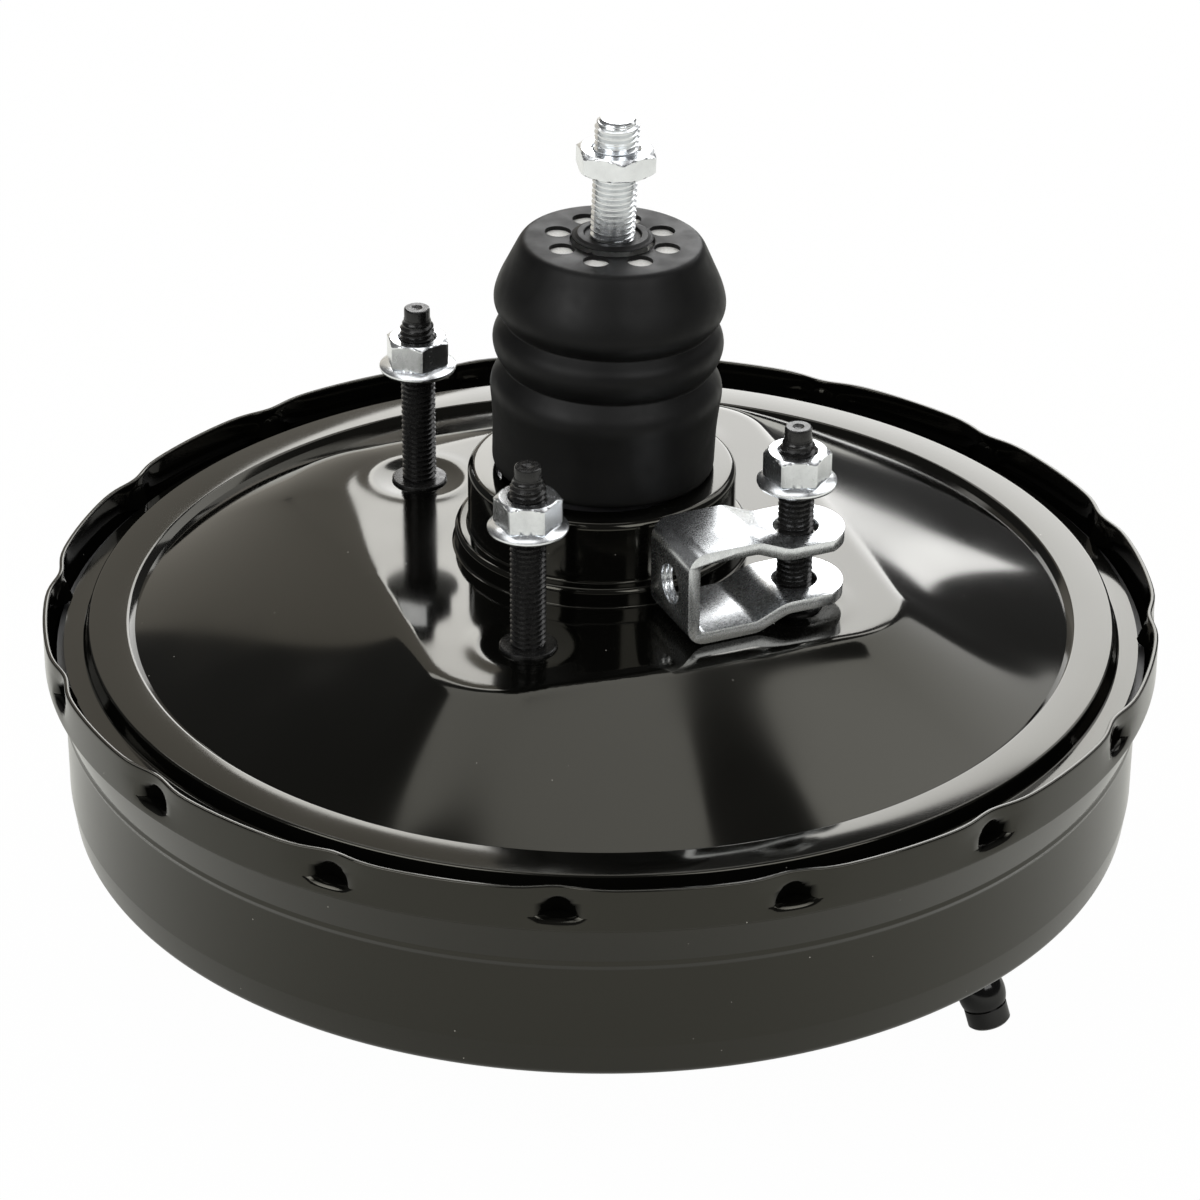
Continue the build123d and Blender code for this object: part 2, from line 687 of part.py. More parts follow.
# ---------------------------------------------------------------- dust boot
boot_foot = neck_top - pivot - 2
boot_folds = [
    (0.7, boot_foot), (0.9, 15.5), (1.3, 21), (1.7, 25.5), (0.6, 28.2), (-1.0, 30.3), (0.6, 32.6), (1.5, 35.5),
    (0.7, 38.6), (-0.9, 40.3), (0.8, 42.4), (1.5, 45.3), (0.3, 50.3), (-2.0, 55.0), (-3.4, boot_top - 1.6),
]
boot_line = [(neck_hole + swell, height) for swell, height in boot_folds] + [(boot_flat, boot_top)]


def boot_sketch():
    """The boot's wall and end face along its leaning axis."""
    with BuildSketch(Plane(rod_plane.origin, x_dir=rod_plane.x_dir, z_dir=-rod_plane.y_dir)) as drawn:
        with BuildLine():
            Spline(*boot_line)
            Polyline(
                boot_line[-1],
                (boot_lip_radius + 0.6, boot_top),
                (boot_lip_radius, boot_top + boot_lip),
                (boot_hole, boot_top + boot_lip),
                (boot_hole, boot_top - boot_wall),
                (boot_flat - 0.4, boot_top - boot_wall),
            )
            Spline(*[(radius - boot_wall, height - 0.3) for radius, height in reversed(boot_line[:-1])])
            Line((boot_line[0][0] - boot_wall, boot_foot - 0.3), boot_line[0])
            shoulder = boot_line[-2]
            Line((boot_flat - 0.4, boot_top - boot_wall), (shoulder[0] - boot_wall, shoulder[1] - 0.3))
        make_face()
    return drawn.sketch


with BuildPart() as dust_boot:
    revolve(boot_sketch(), axis=leaning_axis)
    with Locations(rod_plane.offset(boot_top)):
        with PolarLocations(vent_ring, vent_count, start_angle=10):
            Hole(vent_radius, depth=boot_wall + 0.5)
    with BuildSketch(Plane.XY.offset(neck_top)):
        Circle(2 * neck_radius)
    extrude(amount=-neck_top, mode=Mode.SUBTRACT)
    revolve(ring(neck_hole - boot_wall - 0.4, neck_hole - 0.1, retainer_top - 1.5, neck_top + 1),
            axis=Axis.Z)
    revolve(ring(neck_hole - 3, neck_hole + 2.4, neck_top, neck_top + 2.6), axis=Axis.Z)
save(dust_boot.part, "dust_boot")

# ---------------------------------------------------------------- clevis on its stud
clevis_plane = Plane(
    origin=(stud_x, -stud_y, 0),
    x_dir=(cos(radians(clevis_turn)), sin(radians(clevis_turn)), 0),
    z_dir=(sin(radians(clevis_turn)), -cos(radians(clevis_turn)), 0),
)
clevis_middle = clevis_low + clevis_height / 2
ear_face = clevis_ear_gap / 2 + clevis_plate


def clevis_strip():
    """The bottle-shaped strip, seen from the side."""
    with BuildSketch(clevis_plane) as drawn:
        with BuildLine():
            FilletPolyline(
                (clevis_ear_radius + 2, clevis_middle + ear_face),
                (-6.0, clevis_middle + ear_face),
                (-13.0, clevis_middle + clevis_height / 2),
                (-clevis_reach, clevis_middle + clevis_height / 2),
                (-clevis_reach, clevis_middle - clevis_height / 2),
                (-13.0, clevis_middle - clevis_height / 2),
                (-6.0, clevis_middle - ear_face),
                (clevis_ear_radius + 2, clevis_middle - ear_face),
                radius=[6, 7, 4.4, 4.4, 7, 6],
            )
            offset(amount=clevis_plate, side=Side.LEFT)
        make_face()
    return drawn.sketch


def clevis_plan():
    """The strip's outline from above: web, waist and round ears."""
    flat = Plane(origin=(stud_x, -stud_y, -5), x_dir=clevis_plane.x_dir, z_dir=(0, 0, 1))
    with BuildSketch(flat) as drawn:
        Circle(clevis_ear_radius)
        with Locations((-clevis_reach - 1, 0)):
            Rectangle(clevis_reach + 1, 2 * clevis_half_width, align=(Align.MIN, Align.CENTER))
    return drawn.sketch


with BuildPart() as clevis:
    extrude(clevis_strip(), amount=clevis_ear_radius + 1, both=True)
    extrude(clevis_plan(), amount=40, mode=Mode.INTERSECT)
    with Locations((stud_x, -stud_y, clevis_height + 5)):
        Hole(clevis_pin_hole, depth=clevis_height + 10)
    web_centre = clevis_plane.origin + Vector(0, 0, clevis_middle) - clevis_plane.x_dir * clevis_reach
    with Locations(Plane(origin=web_centre, z_dir=-clevis_plane.x_dir)):
        Hole(clevis_thread, depth=clevis_plate + 1)
save(clevis.part, "clevis")

# ---------------------------------------------------------------- check valve
check_x, check_y = check_place
grommet_top = front_face + front_sheet + 2.4
with BuildPart() as valve_grommet:
    with Locations((check_x, check_y, 0)):
        add(revolve(
            outline(
                (valve_stem_radius, grommet_top),
                (valve_stem_radius + 4, grommet_top),
                (valve_stem_radius + 4, front_face + front_sheet),
                (valve_stem_radius + 2, front_face + front_sheet),
                (valve_stem_radius + 2, front_face),
                (valve_stem_radius + 4, front_face),
                (valve_stem_radius + 4, front_face - 2.4),
                (valve_stem_radius, front_face - 2.4),
            ),
            axis=Axis.Z,
            mode=Mode.PRIVATE,
        ))
save(valve_grommet.part, "valve_grommet")

cup_inner = valve_cup_radius - 1.8
with BuildPart() as valve_base:
    with Locations((check_x, check_y, 0)):
        add(revolve(
            outline(
                (3, valve_stem_top),
                (valve_stem_radius - 1, valve_stem_top),
                (valve_stem_radius, valve_stem_top - 2),
                (valve_stem_radius, valve_cup_top),
                (valve_cup_radius, valve_cup_top),
                (valve_cup_radius, valve_cup_top - valve_seat_thickness),
                (3, valve_cup_top - valve_seat_thickness),
            ),
            axis=Axis.Z,
            mode=Mode.PRIVATE,
        ))
save(valve_base.part, "valve_base")

outward = sin(radians(nozzle_tilt)) / valve_ring
nozzle_axis = Vector(outward * check_x, outward * check_y, -cos(radians(nozzle_tilt)))
nozzle_plane = Plane(origin=(check_x, check_y, valve_cup_foot), z_dir=nozzle_axis)
nozzle_cup = valve_cup_top - valve_seat_thickness
cup_floor = valve_cup_foot + 1.8


def nozzle_outline():
    """The nozzle's half outline along its tilted axis: neck, bulb, groove and barrel."""
    barrel = nozzle_length - barrel_length
    with BuildSketch(Plane.XZ) as drawn:
        with BuildLine():
            Polyline((0, -1.6), (nozzle_neck, -1.6), (nozzle_neck, barrel - bulb_length))
            ThreePointArc((nozzle_neck, barrel - bulb_length), (nozzle_bulb, barrel - bulb_length / 2),
                          (nozzle_barrel + 0.1, barrel - 0.6))
            Polyline(
                (nozzle_barrel + 0.1, barrel - 0.6),
                (nozzle_barrel - nozzle_groove, barrel - 0.5),
                (nozzle_barrel - nozzle_groove, barrel),
                (nozzle_barrel, barrel),
                (nozzle_barrel, nozzle_length - 0.5),
                (nozzle_barrel - 0.5, nozzle_length),
                (0, nozzle_length),
                (0, -1.6),
            )
        make_face()
    return drawn.sketch


with BuildPart() as valve_nozzle:
    with Locations((check_x, check_y, 0)):
        add(revolve(
            outline(
                (0, nozzle_cup),
                (valve_cup_radius, nozzle_cup),
                (valve_cup_radius, valve_cup_foot + 1.5),
                (valve_cup_radius - 1.5, valve_cup_foot),
                (0, valve_cup_foot),
            ),
            axis=Axis.Z,
            mode=Mode.PRIVATE,
        ))
    with Locations(nozzle_plane):
        add(revolve(nozzle_outline(), axis=Axis.Z, mode=Mode.PRIVATE))
    with Locations((check_x, check_y, nozzle_cup)):
        Cylinder(cup_inner, nozzle_cup - cup_floor, align=(Align.CENTER, Align.CENTER, Align.MAX),
                 mode=Mode.SUBTRACT)
    with Locations(nozzle_plane.offset(-3)):
        Cylinder(nozzle_bore, nozzle_length + 4, align=(Align.CENTER, Align.CENTER, Align.MIN),
                 mode=Mode.SUBTRACT)
save(valve_nozzle.part, "valve_nozzle")

disc_top = nozzle_cup - 0.05
with BuildPart() as check_disc_part:
    with Locations((check_x, check_y, disc_top)):
        Cylinder(check_disc_radius, check_disc, align=(Align.CENTER, Align.CENTER, Align.MAX))
save(check_disc_part.part, "check_disc")

with BuildPart() as check_spring:
    spring_low, spring_high = cup_floor + 0.1, disc_top - check_disc - 0.1
    rise = (spring_high - spring_low - 0.7) / 3
    with BuildLine():
        check_path = Helix(rise, 3 * rise, 4.2, center=(check_x, check_y, spring_low + 0.35))
    with BuildSketch(Plane(origin=check_path @ 0, z_dir=check_path % 0)):
        Circle(0.35)
    sweep(path=check_path)
save(check_spring.part, "check_spring")

# ---------------------------------------------------------------- seal in the front shell
floor_inside = spigot_floor + front_sheet
with BuildPart() as front_seal:
    revolve(
        outline(
            (output_radius + gap, spigot_floor - 0.8),
            (output_radius + 3, spigot_floor - 1.8),
            (floor_hole + 3, spigot_floor - 1.8),
            (floor_hole + 3, spigot_floor),
            (floor_hole, spigot_floor),
            (floor_hole, floor_inside),
            (floor_hole + 4, floor_inside),
            (floor_hole + 4, floor_inside + 1.8),
            (output_radius + 3, floor_inside + 1.8),
            (output_radius + gap, floor_inside + 0.6),
        ),
        axis=Axis.Z,
    )
save(front_seal.part, "front_seal")
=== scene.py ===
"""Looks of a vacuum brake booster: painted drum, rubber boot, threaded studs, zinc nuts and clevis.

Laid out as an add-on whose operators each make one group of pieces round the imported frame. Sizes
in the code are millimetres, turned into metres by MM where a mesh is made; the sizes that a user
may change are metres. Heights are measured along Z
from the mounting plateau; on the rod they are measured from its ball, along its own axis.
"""

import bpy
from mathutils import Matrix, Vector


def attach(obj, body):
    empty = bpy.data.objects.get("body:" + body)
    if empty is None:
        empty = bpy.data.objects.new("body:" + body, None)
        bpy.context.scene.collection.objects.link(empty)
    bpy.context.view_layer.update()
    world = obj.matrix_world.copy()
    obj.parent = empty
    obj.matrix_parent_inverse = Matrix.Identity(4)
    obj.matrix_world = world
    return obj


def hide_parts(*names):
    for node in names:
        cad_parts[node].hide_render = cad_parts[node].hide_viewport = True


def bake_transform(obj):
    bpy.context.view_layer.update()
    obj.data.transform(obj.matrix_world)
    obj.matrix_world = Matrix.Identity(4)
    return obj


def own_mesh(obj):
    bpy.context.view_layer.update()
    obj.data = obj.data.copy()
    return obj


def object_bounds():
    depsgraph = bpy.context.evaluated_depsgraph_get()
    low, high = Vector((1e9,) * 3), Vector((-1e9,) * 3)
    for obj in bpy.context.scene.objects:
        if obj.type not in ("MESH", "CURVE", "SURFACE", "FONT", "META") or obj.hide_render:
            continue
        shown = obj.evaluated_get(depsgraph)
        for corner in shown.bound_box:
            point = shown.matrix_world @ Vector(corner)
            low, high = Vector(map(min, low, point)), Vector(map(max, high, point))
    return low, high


bl_info = {
    "name": "Brake booster",
    "version": (1, 0, 0),
    "blender": (4, 5, 0),
    "location": "View3D > Sidebar > Booster",
    "description": "Builds the visible pieces of a vacuum brake booster round its frame",
    "category": "Object",
}

from math import atan2, cos, degrees, exp, hypot, pi, radians, sin, sqrt, tan

import bmesh
import bpy
from bpy.props import FloatProperty, FloatVectorProperty, IntProperty, PointerProperty
from mathutils import Matrix, Vector

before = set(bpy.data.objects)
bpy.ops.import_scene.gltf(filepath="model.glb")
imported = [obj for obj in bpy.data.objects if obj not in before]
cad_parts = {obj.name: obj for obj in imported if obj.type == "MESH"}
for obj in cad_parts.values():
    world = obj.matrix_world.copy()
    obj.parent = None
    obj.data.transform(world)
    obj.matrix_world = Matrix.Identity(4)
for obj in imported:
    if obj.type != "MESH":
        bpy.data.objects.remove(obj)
CAD_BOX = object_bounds()
MM = 0.001

# ---------------------------------------------------------------- sizes in the frame's millimetres
LEAN = 2.0                      # the input rod's lean, degrees towards +X
BALL = 14.0                     # height of the rod's ball
STUDS = [(30.5, -41.5), (-30.5, -41.5), (-30.5, 41.5), (30.5, 41.5)]
NUT_SEATS = [29.5, 28.0, 28.0, 28.0]
NUT_TURNS = [12.0, 10.0, -8.0, 20.0]    # degrees
CYLINDER_STUDS = [(40.0, 0.0), (-40.0, 0.0)]
STUD_THREAD = (3.3, 3.93)       # radius of the root and of the crest
ROD_THREAD = (4.25, 4.92)
CLEVIS_THREAD = (4.3, 4.85, 1.25)   # the same, and the pitch
NECK_TOP = 19.2
PLATEAU = (54.0, 60.0, 17.0)    # half sizes and corner radius
DOME_START, DOME_END = 44.0, 105.5  # radii
DOME_FOOT, DOME_BULGE = -17.9, 1.1
DOME_STEPS = 58
FLANGE_TOP = -20.5
LIP_RADIUS, LIP_TOP, LIP_FOOT = 126.0, -14.2, -23.8
DRUM_WALL = 121.9               # outer radius of the front drum
DRUM_SHEET, COVER_SHEET = 1.4, 1.5
CLEVIS_TURN = 5.3               # degrees

CRIMP_COLUMNS = 26              # columns of the lathed lip for each crimp
CRIMP_GATHER = 0.82             # how closely the columns gather at each crimp, from 0 to 1
CRIMP_HALF_WIDTH, CRIMP_HEIGHT = 4.8, 4.6
CRIMP_LEDGE = 0.8               # height of the step under each tongue
PULL_SPREAD, PULL_RISE = 6.2, 6.0   # sideways reach of the drawn-in edge, and the height it grows over

DIMPLE_DEPTH, DIMPLE_REACH = 0.5, 8.0           # the dip round each stud
RING_HEIGHT, RING_RADIUS, RING_WIDTH = 0.16, 11.0, 2.2  # the faint ring round the dip


# ---------------------------------------------------------------- outlines
def rounded(corners, radii, steps=6):
    """The line through some corners, each inner one rounded by an arc."""
    points = [corners[0]]
    for before, corner, after, radius in zip(corners, corners[1:], corners[2:], radii):
        a, c, b = Vector(before), Vector(corner), Vector(after)
        u, v = (a - c).normalized(), (b - c).normalized()
        half = u.angle(v) / 2
        reach = min(radius / tan(half), 0.49 * (a - c).length, 0.49 * (b - c).length)
        centre = c + (u + v).normalized() * (reach / cos(half))
        start, end = c + u * reach - centre, c + v * reach - centre
        turn = start.angle_signed(end)
        for i in range(steps + 1):
            spoke = start.copy()
            spoke.rotate(Matrix.Rotation(-turn * i / steps, 2))
            points.append(tuple(centre + spoke))
    return points + [corners[-1]]


def refined(points, step):
    """The same line with no stretch longer than a step."""
    fine = [points[0]]
    for a, b in zip(points, points[1:]):
        count = max(1, int(hypot(b[0] - a[0], b[1] - a[1]) / step))
        fine += [(a[0] + (b[0] - a[0]) * i / count, a[1] + (b[1] - a[1]) * i / count)
                 for i in range(1, count + 1)]
    return fine


def beside(points, gap):
    """A line kept at a distance to the left of another."""
    shifted = []
    for i, (x, y) in enumerate(points):
        a, b = points[max(i - 1, 0)], points[min(i + 1, len(points) - 1)]
        along = Vector((b[0] - a[0], b[1] - a[1])).normalized()
        shifted.append((x - along.y * gap, y + along.x * gap))
    return shifted


def smooth_line(points, steps=6):
    """A smooth line through some points."""
    line = []
    ends = [points[0]] + list(points) + [points[-1]]
    for p0, p1, p2, p3 in zip(ends, ends[1:], ends[2:], ends[3:]):
        a, b, c, d = Vector(p0), Vector(p1), Vector(p2), Vector(p3)
        for i in range(steps):
            t = i / steps
            line.append(tuple(0.5 * (2 * b + (c - a) * t + (2 * a - 5 * b + 4 * c - d) * t ** 2
                                     + (3 * b - a - 3 * c + d) * t ** 3)))
    return line + [points[-1]]


# ---------------------------------------------------------------- meshes
def repeated(bm, step, count):
    """Adds copies of a mesh, each one step on from the last, and welds them together."""
    holder = bpy.data.meshes.new("holder")
    bm.to_mesh(holder)
    for _ in range(count - 1):
        holder.transform(step)
        bm.from_mesh(holder)
    bpy.data.meshes.remove(holder)
    bmesh.ops.remove_doubles(bm, verts=bm.verts, dist=1e-6)


def lathe(outline, columns, closed=True):
    """Spins an outline of (radius, height) pairs about the Z axis, an eighth of a turn at a time."""
    bm = bmesh.new()
    verts = [bm.verts.new((r * MM, 0, z * MM)) for r, z in outline]
    pairs = list(zip(verts, verts[1:] + verts[:1] if closed else verts[1:]))
    edges = [bm.edges.new(pair) for pair in pairs]
    bmesh.ops.spin(bm, geom=verts + edges, cent=(0, 0, 0), axis=(0, 0, 1), angle=pi / 4, steps=columns // 8)
    repeated(bm, Matrix.Rotation(pi / 4, 4, "Z"), 8)
    return bm


def screw_thread(root, crest, pitch, low, high, columns=28):
    """A threaded rod about the Z axis from a low to a high end, both cut flat."""
    bm = bmesh.new()
    start = low - 1.5 * pitch
    shape = [(root, 0.0), (root, 0.12), (crest, 0.44), (crest, 0.56), (root, 0.88), (root, 1.0)]
    verts = [bm.verts.new((r * MM, 0, (start + t * pitch) * MM)) for r, t in shape]
    edges = [bm.edges.new(pair) for pair in zip(verts, verts[1:])]
    bmesh.ops.spin(bm, geom=verts + edges, cent=(0, 0, 0), axis=(0, 0, 1), angle=2 * pi, steps=columns,
                   dvec=(0, 0, pitch * MM / columns))
    repeated(bm, Matrix.Translation((0, 0, pitch * MM)), int((high - low) / pitch) + 4)
    for height, side in ((low, -1), (high, 1)):
        everything = bm.verts[:] + bm.edges[:] + bm.faces[:]
        bmesh.ops.bisect_plane(bm, geom=everything, plane_co=(0, 0, height * MM), plane_no=(0, 0, side),
                               clear_outer=True)
    bmesh.ops.holes_fill(bm, edges=[e for e in bm.edges if e.is_boundary])
    return bm


def shift(bm, by):
    """Moves a bmesh by some millimetres."""
    bmesh.ops.translate(bm, vec=Vector(by) * MM, verts=bm.verts)


def spread(vert, factor):
    """Moves a vertex away from the Z axis, or towards it, by a factor."""
    vert.co.x *= factor
    vert.co.y *= factor


def to_rod_axis(bm):
    """Moves a piece made about the Z axis, from the ball up, onto the leaning rod."""
    turn = Matrix.Translation((0, 0, BALL * MM)) @ Matrix.Rotation(radians(LEAN), 4, "Y")
    bmesh.ops.transform(bm, matrix=turn, verts=bm.verts)


def joined(*parts):
    """One bmesh from several."""
    whole = bmesh.new()
    for part in parts:
        holder = bpy.data.meshes.new("holder")
        part.to_mesh(holder)
        part.free()
        whole.from_mesh(holder)
        bpy.data.meshes.remove(holder)
    return whole


def as_piece(bm, name, material, body=None, replaces=(), crease=35.0):
    """Turns a bmesh into a finished piece that rides on a body."""
    bmesh.ops.recalc_face_normals(bm, faces=bm.faces)
    mesh = bpy.data.meshes.new(name)
    bm.to_mesh(mesh)
    bm.free()
    for face in mesh.polygons:
        face.use_smooth = True
    mesh.set_sharp_from_angle(angle=radians(crease))
    mesh.materials.append(material)
    piece = bpy.data.objects.new(name, mesh)
    bpy.context.scene.collection.objects.link(piece)
    if body:
        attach(piece, body)
    if replaces:
        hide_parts(*replaces)
    return piece


def apply_modifiers(piece):
    """Gives a piece the mesh that its modifiers make, and takes them away."""
    bpy.context.view_layer.update()
    evaluated = piece.evaluated_get(bpy.context.evaluated_depsgraph_get())
    mesh = bpy.data.meshes.new_from_object(evaluated)
    piece.modifiers.clear()
    old = piece.data
    mesh.name = old.name
    piece.data = mesh
    bpy.data.meshes.remove(old)


def cut(piece, cutters, operation="DIFFERENCE"):
    """Cuts a piece's mesh with other bmeshes, one after another."""
    for cutter in cutters:
        tool = as_tool(cutter)
        modifier = piece.modifiers.new("cut", "BOOLEAN")
        modifier.operation = operation
        modifier.solver = "EXACT"
        modifier.object = tool
        apply_modifiers(piece)
        bpy.data.objects.remove(tool)


def as_tool(bm):
    """Turns a bmesh into an object to cut with."""
    bmesh.ops.recalc_face_normals(bm, faces=bm.faces)
    mesh = bpy.data.meshes.new("tool")
    bm.to_mesh(mesh)
    bm.free()
    tool = bpy.data.objects.new("tool", mesh)
    bpy.context.scene.collection.objects.link(tool)
    return tool


def slab(corners, along):
    """A slab: a flat loop of corners drawn out along a direction, all in metres."""
    bm = bmesh.new()
    face = bm.faces.new([bm.verts.new(corner) for corner in corners])
    grown = bmesh.ops.extrude_face_region(bm, geom=[face])
    moved = [g for g in grown["geom"] if isinstance(g, bmesh.types.BMVert)]
    bmesh.ops.translate(bm, vec=along, verts=moved)
    return bm


def bar(radius, low, high, columns, at=(0, 0)):
    """A round bar about a vertical line."""
    bm = bmesh.new()
    bmesh.ops.create_cone(bm, cap_ends=True, segments=columns, radius1=radius * MM, radius2=radius * MM,
                          depth=(high - low) * MM)
    shift(bm, (at[0], at[1], (low + high) / 2))
    return bm


# ---------------------------------------------------------------- materials
class Shader:
    """A small helper that wires one material's nodes."""

    def __init__(self, name, color, roughness, metallic=0.0, **sockets):
        self.material = bpy.data.materials.new(name)
        self.material.use_nodes = True
        self.nodes = self.material.node_tree.nodes
        self.links = self.material.node_tree.links
        self.surface = self.nodes["Principled BSDF"]
        self.surface.inputs["Base Color"].default_value = (*color, 1)
        self.surface.inputs["Roughness"].default_value = roughness
        self.surface.inputs["Metallic"].default_value = metallic
        for socket, value in sockets.items():
            self.surface.inputs[socket.replace("_", " ")].default_value = value
        self.place = self.nodes.new("ShaderNodeTexCoord").outputs["Object"]
        self.last_bump = None

    def scaled(self, scale):
        """Object coordinates, stretched along the axes."""
        mapping = self.nodes.new("ShaderNodeMapping")
        mapping.inputs["Scale"].default_value = scale
        self.links.new(self.place, mapping.inputs["Vector"])
        return mapping.outputs["Vector"]

    def noise(self, size, detail=3.0, rough=0.5, stretch=(1, 1, 1)):
        """Noise whose grains are about a size in millimetres."""
        node = self.nodes.new("ShaderNodeTexNoise")
        node.inputs["Scale"].default_value = 1000.0 / size
        node.inputs["Detail"].default_value = detail
        node.inputs["Roughness"].default_value = rough
        self.links.new(self.scaled(stretch), node.inputs["Vector"])
        return node.outputs["Fac"]

    def cells(self, size):
        """Distance to the nearest of some scattered points, about a size in millimetres apart."""
        node = self.nodes.new("ShaderNodeTexVoronoi")
        node.inputs["Scale"].default_value = 1000.0 / size
        self.links.new(self.place, node.inputs["Vector"])
        return node.outputs["Distance"]

    def ranged(self, value, low, high, start=0.0, end=1.0):
        """A value between start and end, brought between low and high."""
        node = self.nodes.new("ShaderNodeMapRange")
        for socket, number in (("From Min", start), ("From Max", end), ("To Min", low), ("To Max", high)):
            node.inputs[socket].default_value = number
        self.links.new(value, node.inputs["Value"])
        return node.outputs["Result"]

    def mixed(self, factor, first, second):
        """Colours the surface between two colours by a factor."""
        node = self.nodes.new("ShaderNodeMix")
        node.data_type = "RGBA"
        self.links.new(factor, node.inputs["Factor"])
        for socket, color in (("A", first), ("B", second)):
            target = [s for s in node.inputs if s.name == socket and s.type == "RGBA"][0]
            target.default_value = (*color, 1)
        output = [s for s in node.outputs if s.type == "RGBA"][0]
        self.links.new(output, self.surface.inputs["Base Color"])

    def rough(self, value):
        """Sets the roughness by a node's output."""
        self.links.new(value, self.surface.inputs["Roughness"])

    def duller_where(self, attribute):
        """Takes the gloss away where a mesh carries an attribute, from 0 for none to 1 for all; used to paint
        shade into recesses.
        """
        node = self.nodes.new("ShaderNodeAttribute")
        node.attribute_name = attribute
        level = self.ranged(node.outputs["Fac"], 0.5, 0.0)
        self.links.new(level, self.surface.inputs["Specular IOR Level"])

    def bump(self, height, strength, distance):
        """Adds a bump on top of those before it; distance is in millimetres."""
        node = self.nodes.new("ShaderNodeBump")
        node.inputs["Strength"].default_value = strength
        node.inputs["Distance"].default_value = distance * MM
        self.links.new(height, node.inputs["Height"])
        if self.last_bump:
            self.links.new(self.last_bump, node.inputs["Normal"])
        self.last_bump = node.outputs["Normal"]
        self.links.new(self.last_bump, self.surface.inputs["Normal"])


def made(make):
    """The material that a function makes, made once."""
    return bpy.data.materials.get(make.__name__) or make(make.__name__)


def gloss_paint(name):
    """Stoved black enamel: nearly flat, with faint peel, soft haze and specks of dust, and painted shade
    where its gloss is taken away in the crimps.
    """
    color = tuple(bpy.context.scene.booster_finish.paint)
    shader = Shader(name, color, 0.07, IOR=1.5, Specular_Tint=(1.0, 0.97, 0.84, 1))
    haze = shader.noise(42, 2)
    dust = shader.ranged(shader.cells(7.5), 1, 0, 0.014, 0.026)
    shader.mixed(dust, color, (0.32, 0.31, 0.28))
    shader.rough(shader.ranged(haze, 0.05, 0.14, 0.3, 0.7))
    shader.bump(shader.noise(9, 2), 0.05, 0.02)
    # painted shade: no gloss on the pressed-in tongues and the steps under them
    shader.duller_where("painted_recess_shade")
    return shader.material


def moulded_rubber(name):
    """Moulded rubber with a fine matte grain and a dull bloom."""
    color = tuple(bpy.context.scene.booster_finish.rubber)
    shader = Shader(name, color, 0.45, IOR=1.45, Specular_IOR_Level=0.24)
    bloom = shader.noise(14, 4)
    shader.mixed(shader.ranged(bloom, 0, 1, 0.35, 0.7), color, tuple(c * 1.5 for c in color))
    shader.rough(shader.ranged(shader.noise(5, 3), 0.42, 0.55, 0.3, 0.7))
    shader.bump(shader.noise(0.35, 3), 0.16, 0.04)
    return shader.material


def soft_rubber(name):
    """Dark rubber of the seals and the diaphragm."""
    shader = Shader(name, (0.018, 0.018, 0.019), 0.45)
    shader.mixed(shader.noise(6, 3), (0.014, 0.014, 0.015), (0.026, 0.026, 0.027))
    shader.bump(shader.noise(0.5, 3), 0.2, 0.05)
    return shader.material


def black_phosphate(name):
    """Oiled phosphate on the studs, with a dull glint on the thread's crests."""
    shader = Shader(name, (0.008, 0.008, 0.008), 0.3, IOR=1.45)
    shader.mixed(shader.noise(1.2, 4), (0.005, 0.005, 0.005), (0.016, 0.0155, 0.015))
    shader.rough(shader.ranged(shader.noise(0.8, 3), 0.16, 0.34, 0.3, 0.7))
    shader.bump(shader.noise(0.25, 2), 0.12, 0.02)
    return shader.material


def bright_zinc(name):
    """Bright zinc plate with fine grain and faint stains."""
    color = tuple(bpy.context.scene.booster_finish.zinc)
    shader = Shader(name, color, 0.26, 1.0)
    stain = shader.noise(4, 4)
    shader.mixed(shader.ranged(stain, 0, 1, 0.35, 0.68), color, tuple(c * 0.88 for c in color))
    shader.rough(shader.ranged(shader.noise(1.1, 4, 0.65), 0.2, 0.28, 0.3, 0.7))
    shader.bump(shader.noise(0.3, 3, 0.6), 0.05, 0.01)
    return shader.material


def clevis_zinc(name):
    """Zinc over pressed plate: grainier, with press marks across the bends."""
    color = tuple(bpy.context.scene.booster_finish.zinc)
    shader = Shader(name, color, 0.28, 1.0)
    stain = shader.noise(2.5, 5, 0.6)
    shader.mixed(shader.ranged(stain, 0, 1, 0.35, 0.68), color, tuple(c * 0.86 for c in color))
    shader.rough(shader.ranged(shader.noise(0.7, 4, 0.7), 0.22, 0.32, 0.3, 0.7))
    shader.bump(shader.noise(0.35, 4, 0.7), 0.07, 0.015)
    shader.bump(shader.noise(1.6, 3, 0.6, (1, 0.12, 0.6)), 0.05, 0.02)
    return shader.material


def bare_steel(name):
    """Bare pressed steel."""
    shader = Shader(name, (0.42, 0.42, 0.43), 0.38, 1.0)
    shader.mixed(shader.noise(9, 4), (0.36, 0.36, 0.37), (0.5, 0.5, 0.5))
    shader.rough(shader.ranged(shader.noise(2, 3), 0.3, 0.48, 0.3, 0.7))
    shader.bump(shader.noise(0.6, 3), 0.2, 0.03)
    return shader.material


def spring_wire(name):
    """Drawn spring wire, with marks along it."""
    shader = Shader(name, (0.3, 0.3, 0.32), 0.33, 1.0)
    shader.mixed(shader.noise(3, 4), (0.22, 0.22, 0.24), (0.4, 0.4, 0.42))
    shader.bump(shader.noise(0.4, 3, 0.5, (1, 1, 4)), 0.2, 0.03)
    return shader.material


def moulded_plastic(name):
    """Dark moulded plastic of the valve body."""
    shader = Shader(name, (0.045, 0.045, 0.048), 0.42, IOR=1.5)
    shader.mixed(shader.noise(12, 3), (0.04, 0.04, 0.043), (0.055, 0.055, 0.058))
    shader.bump(shader.noise(0.8, 3), 0.15, 0.04)
    return shader.material


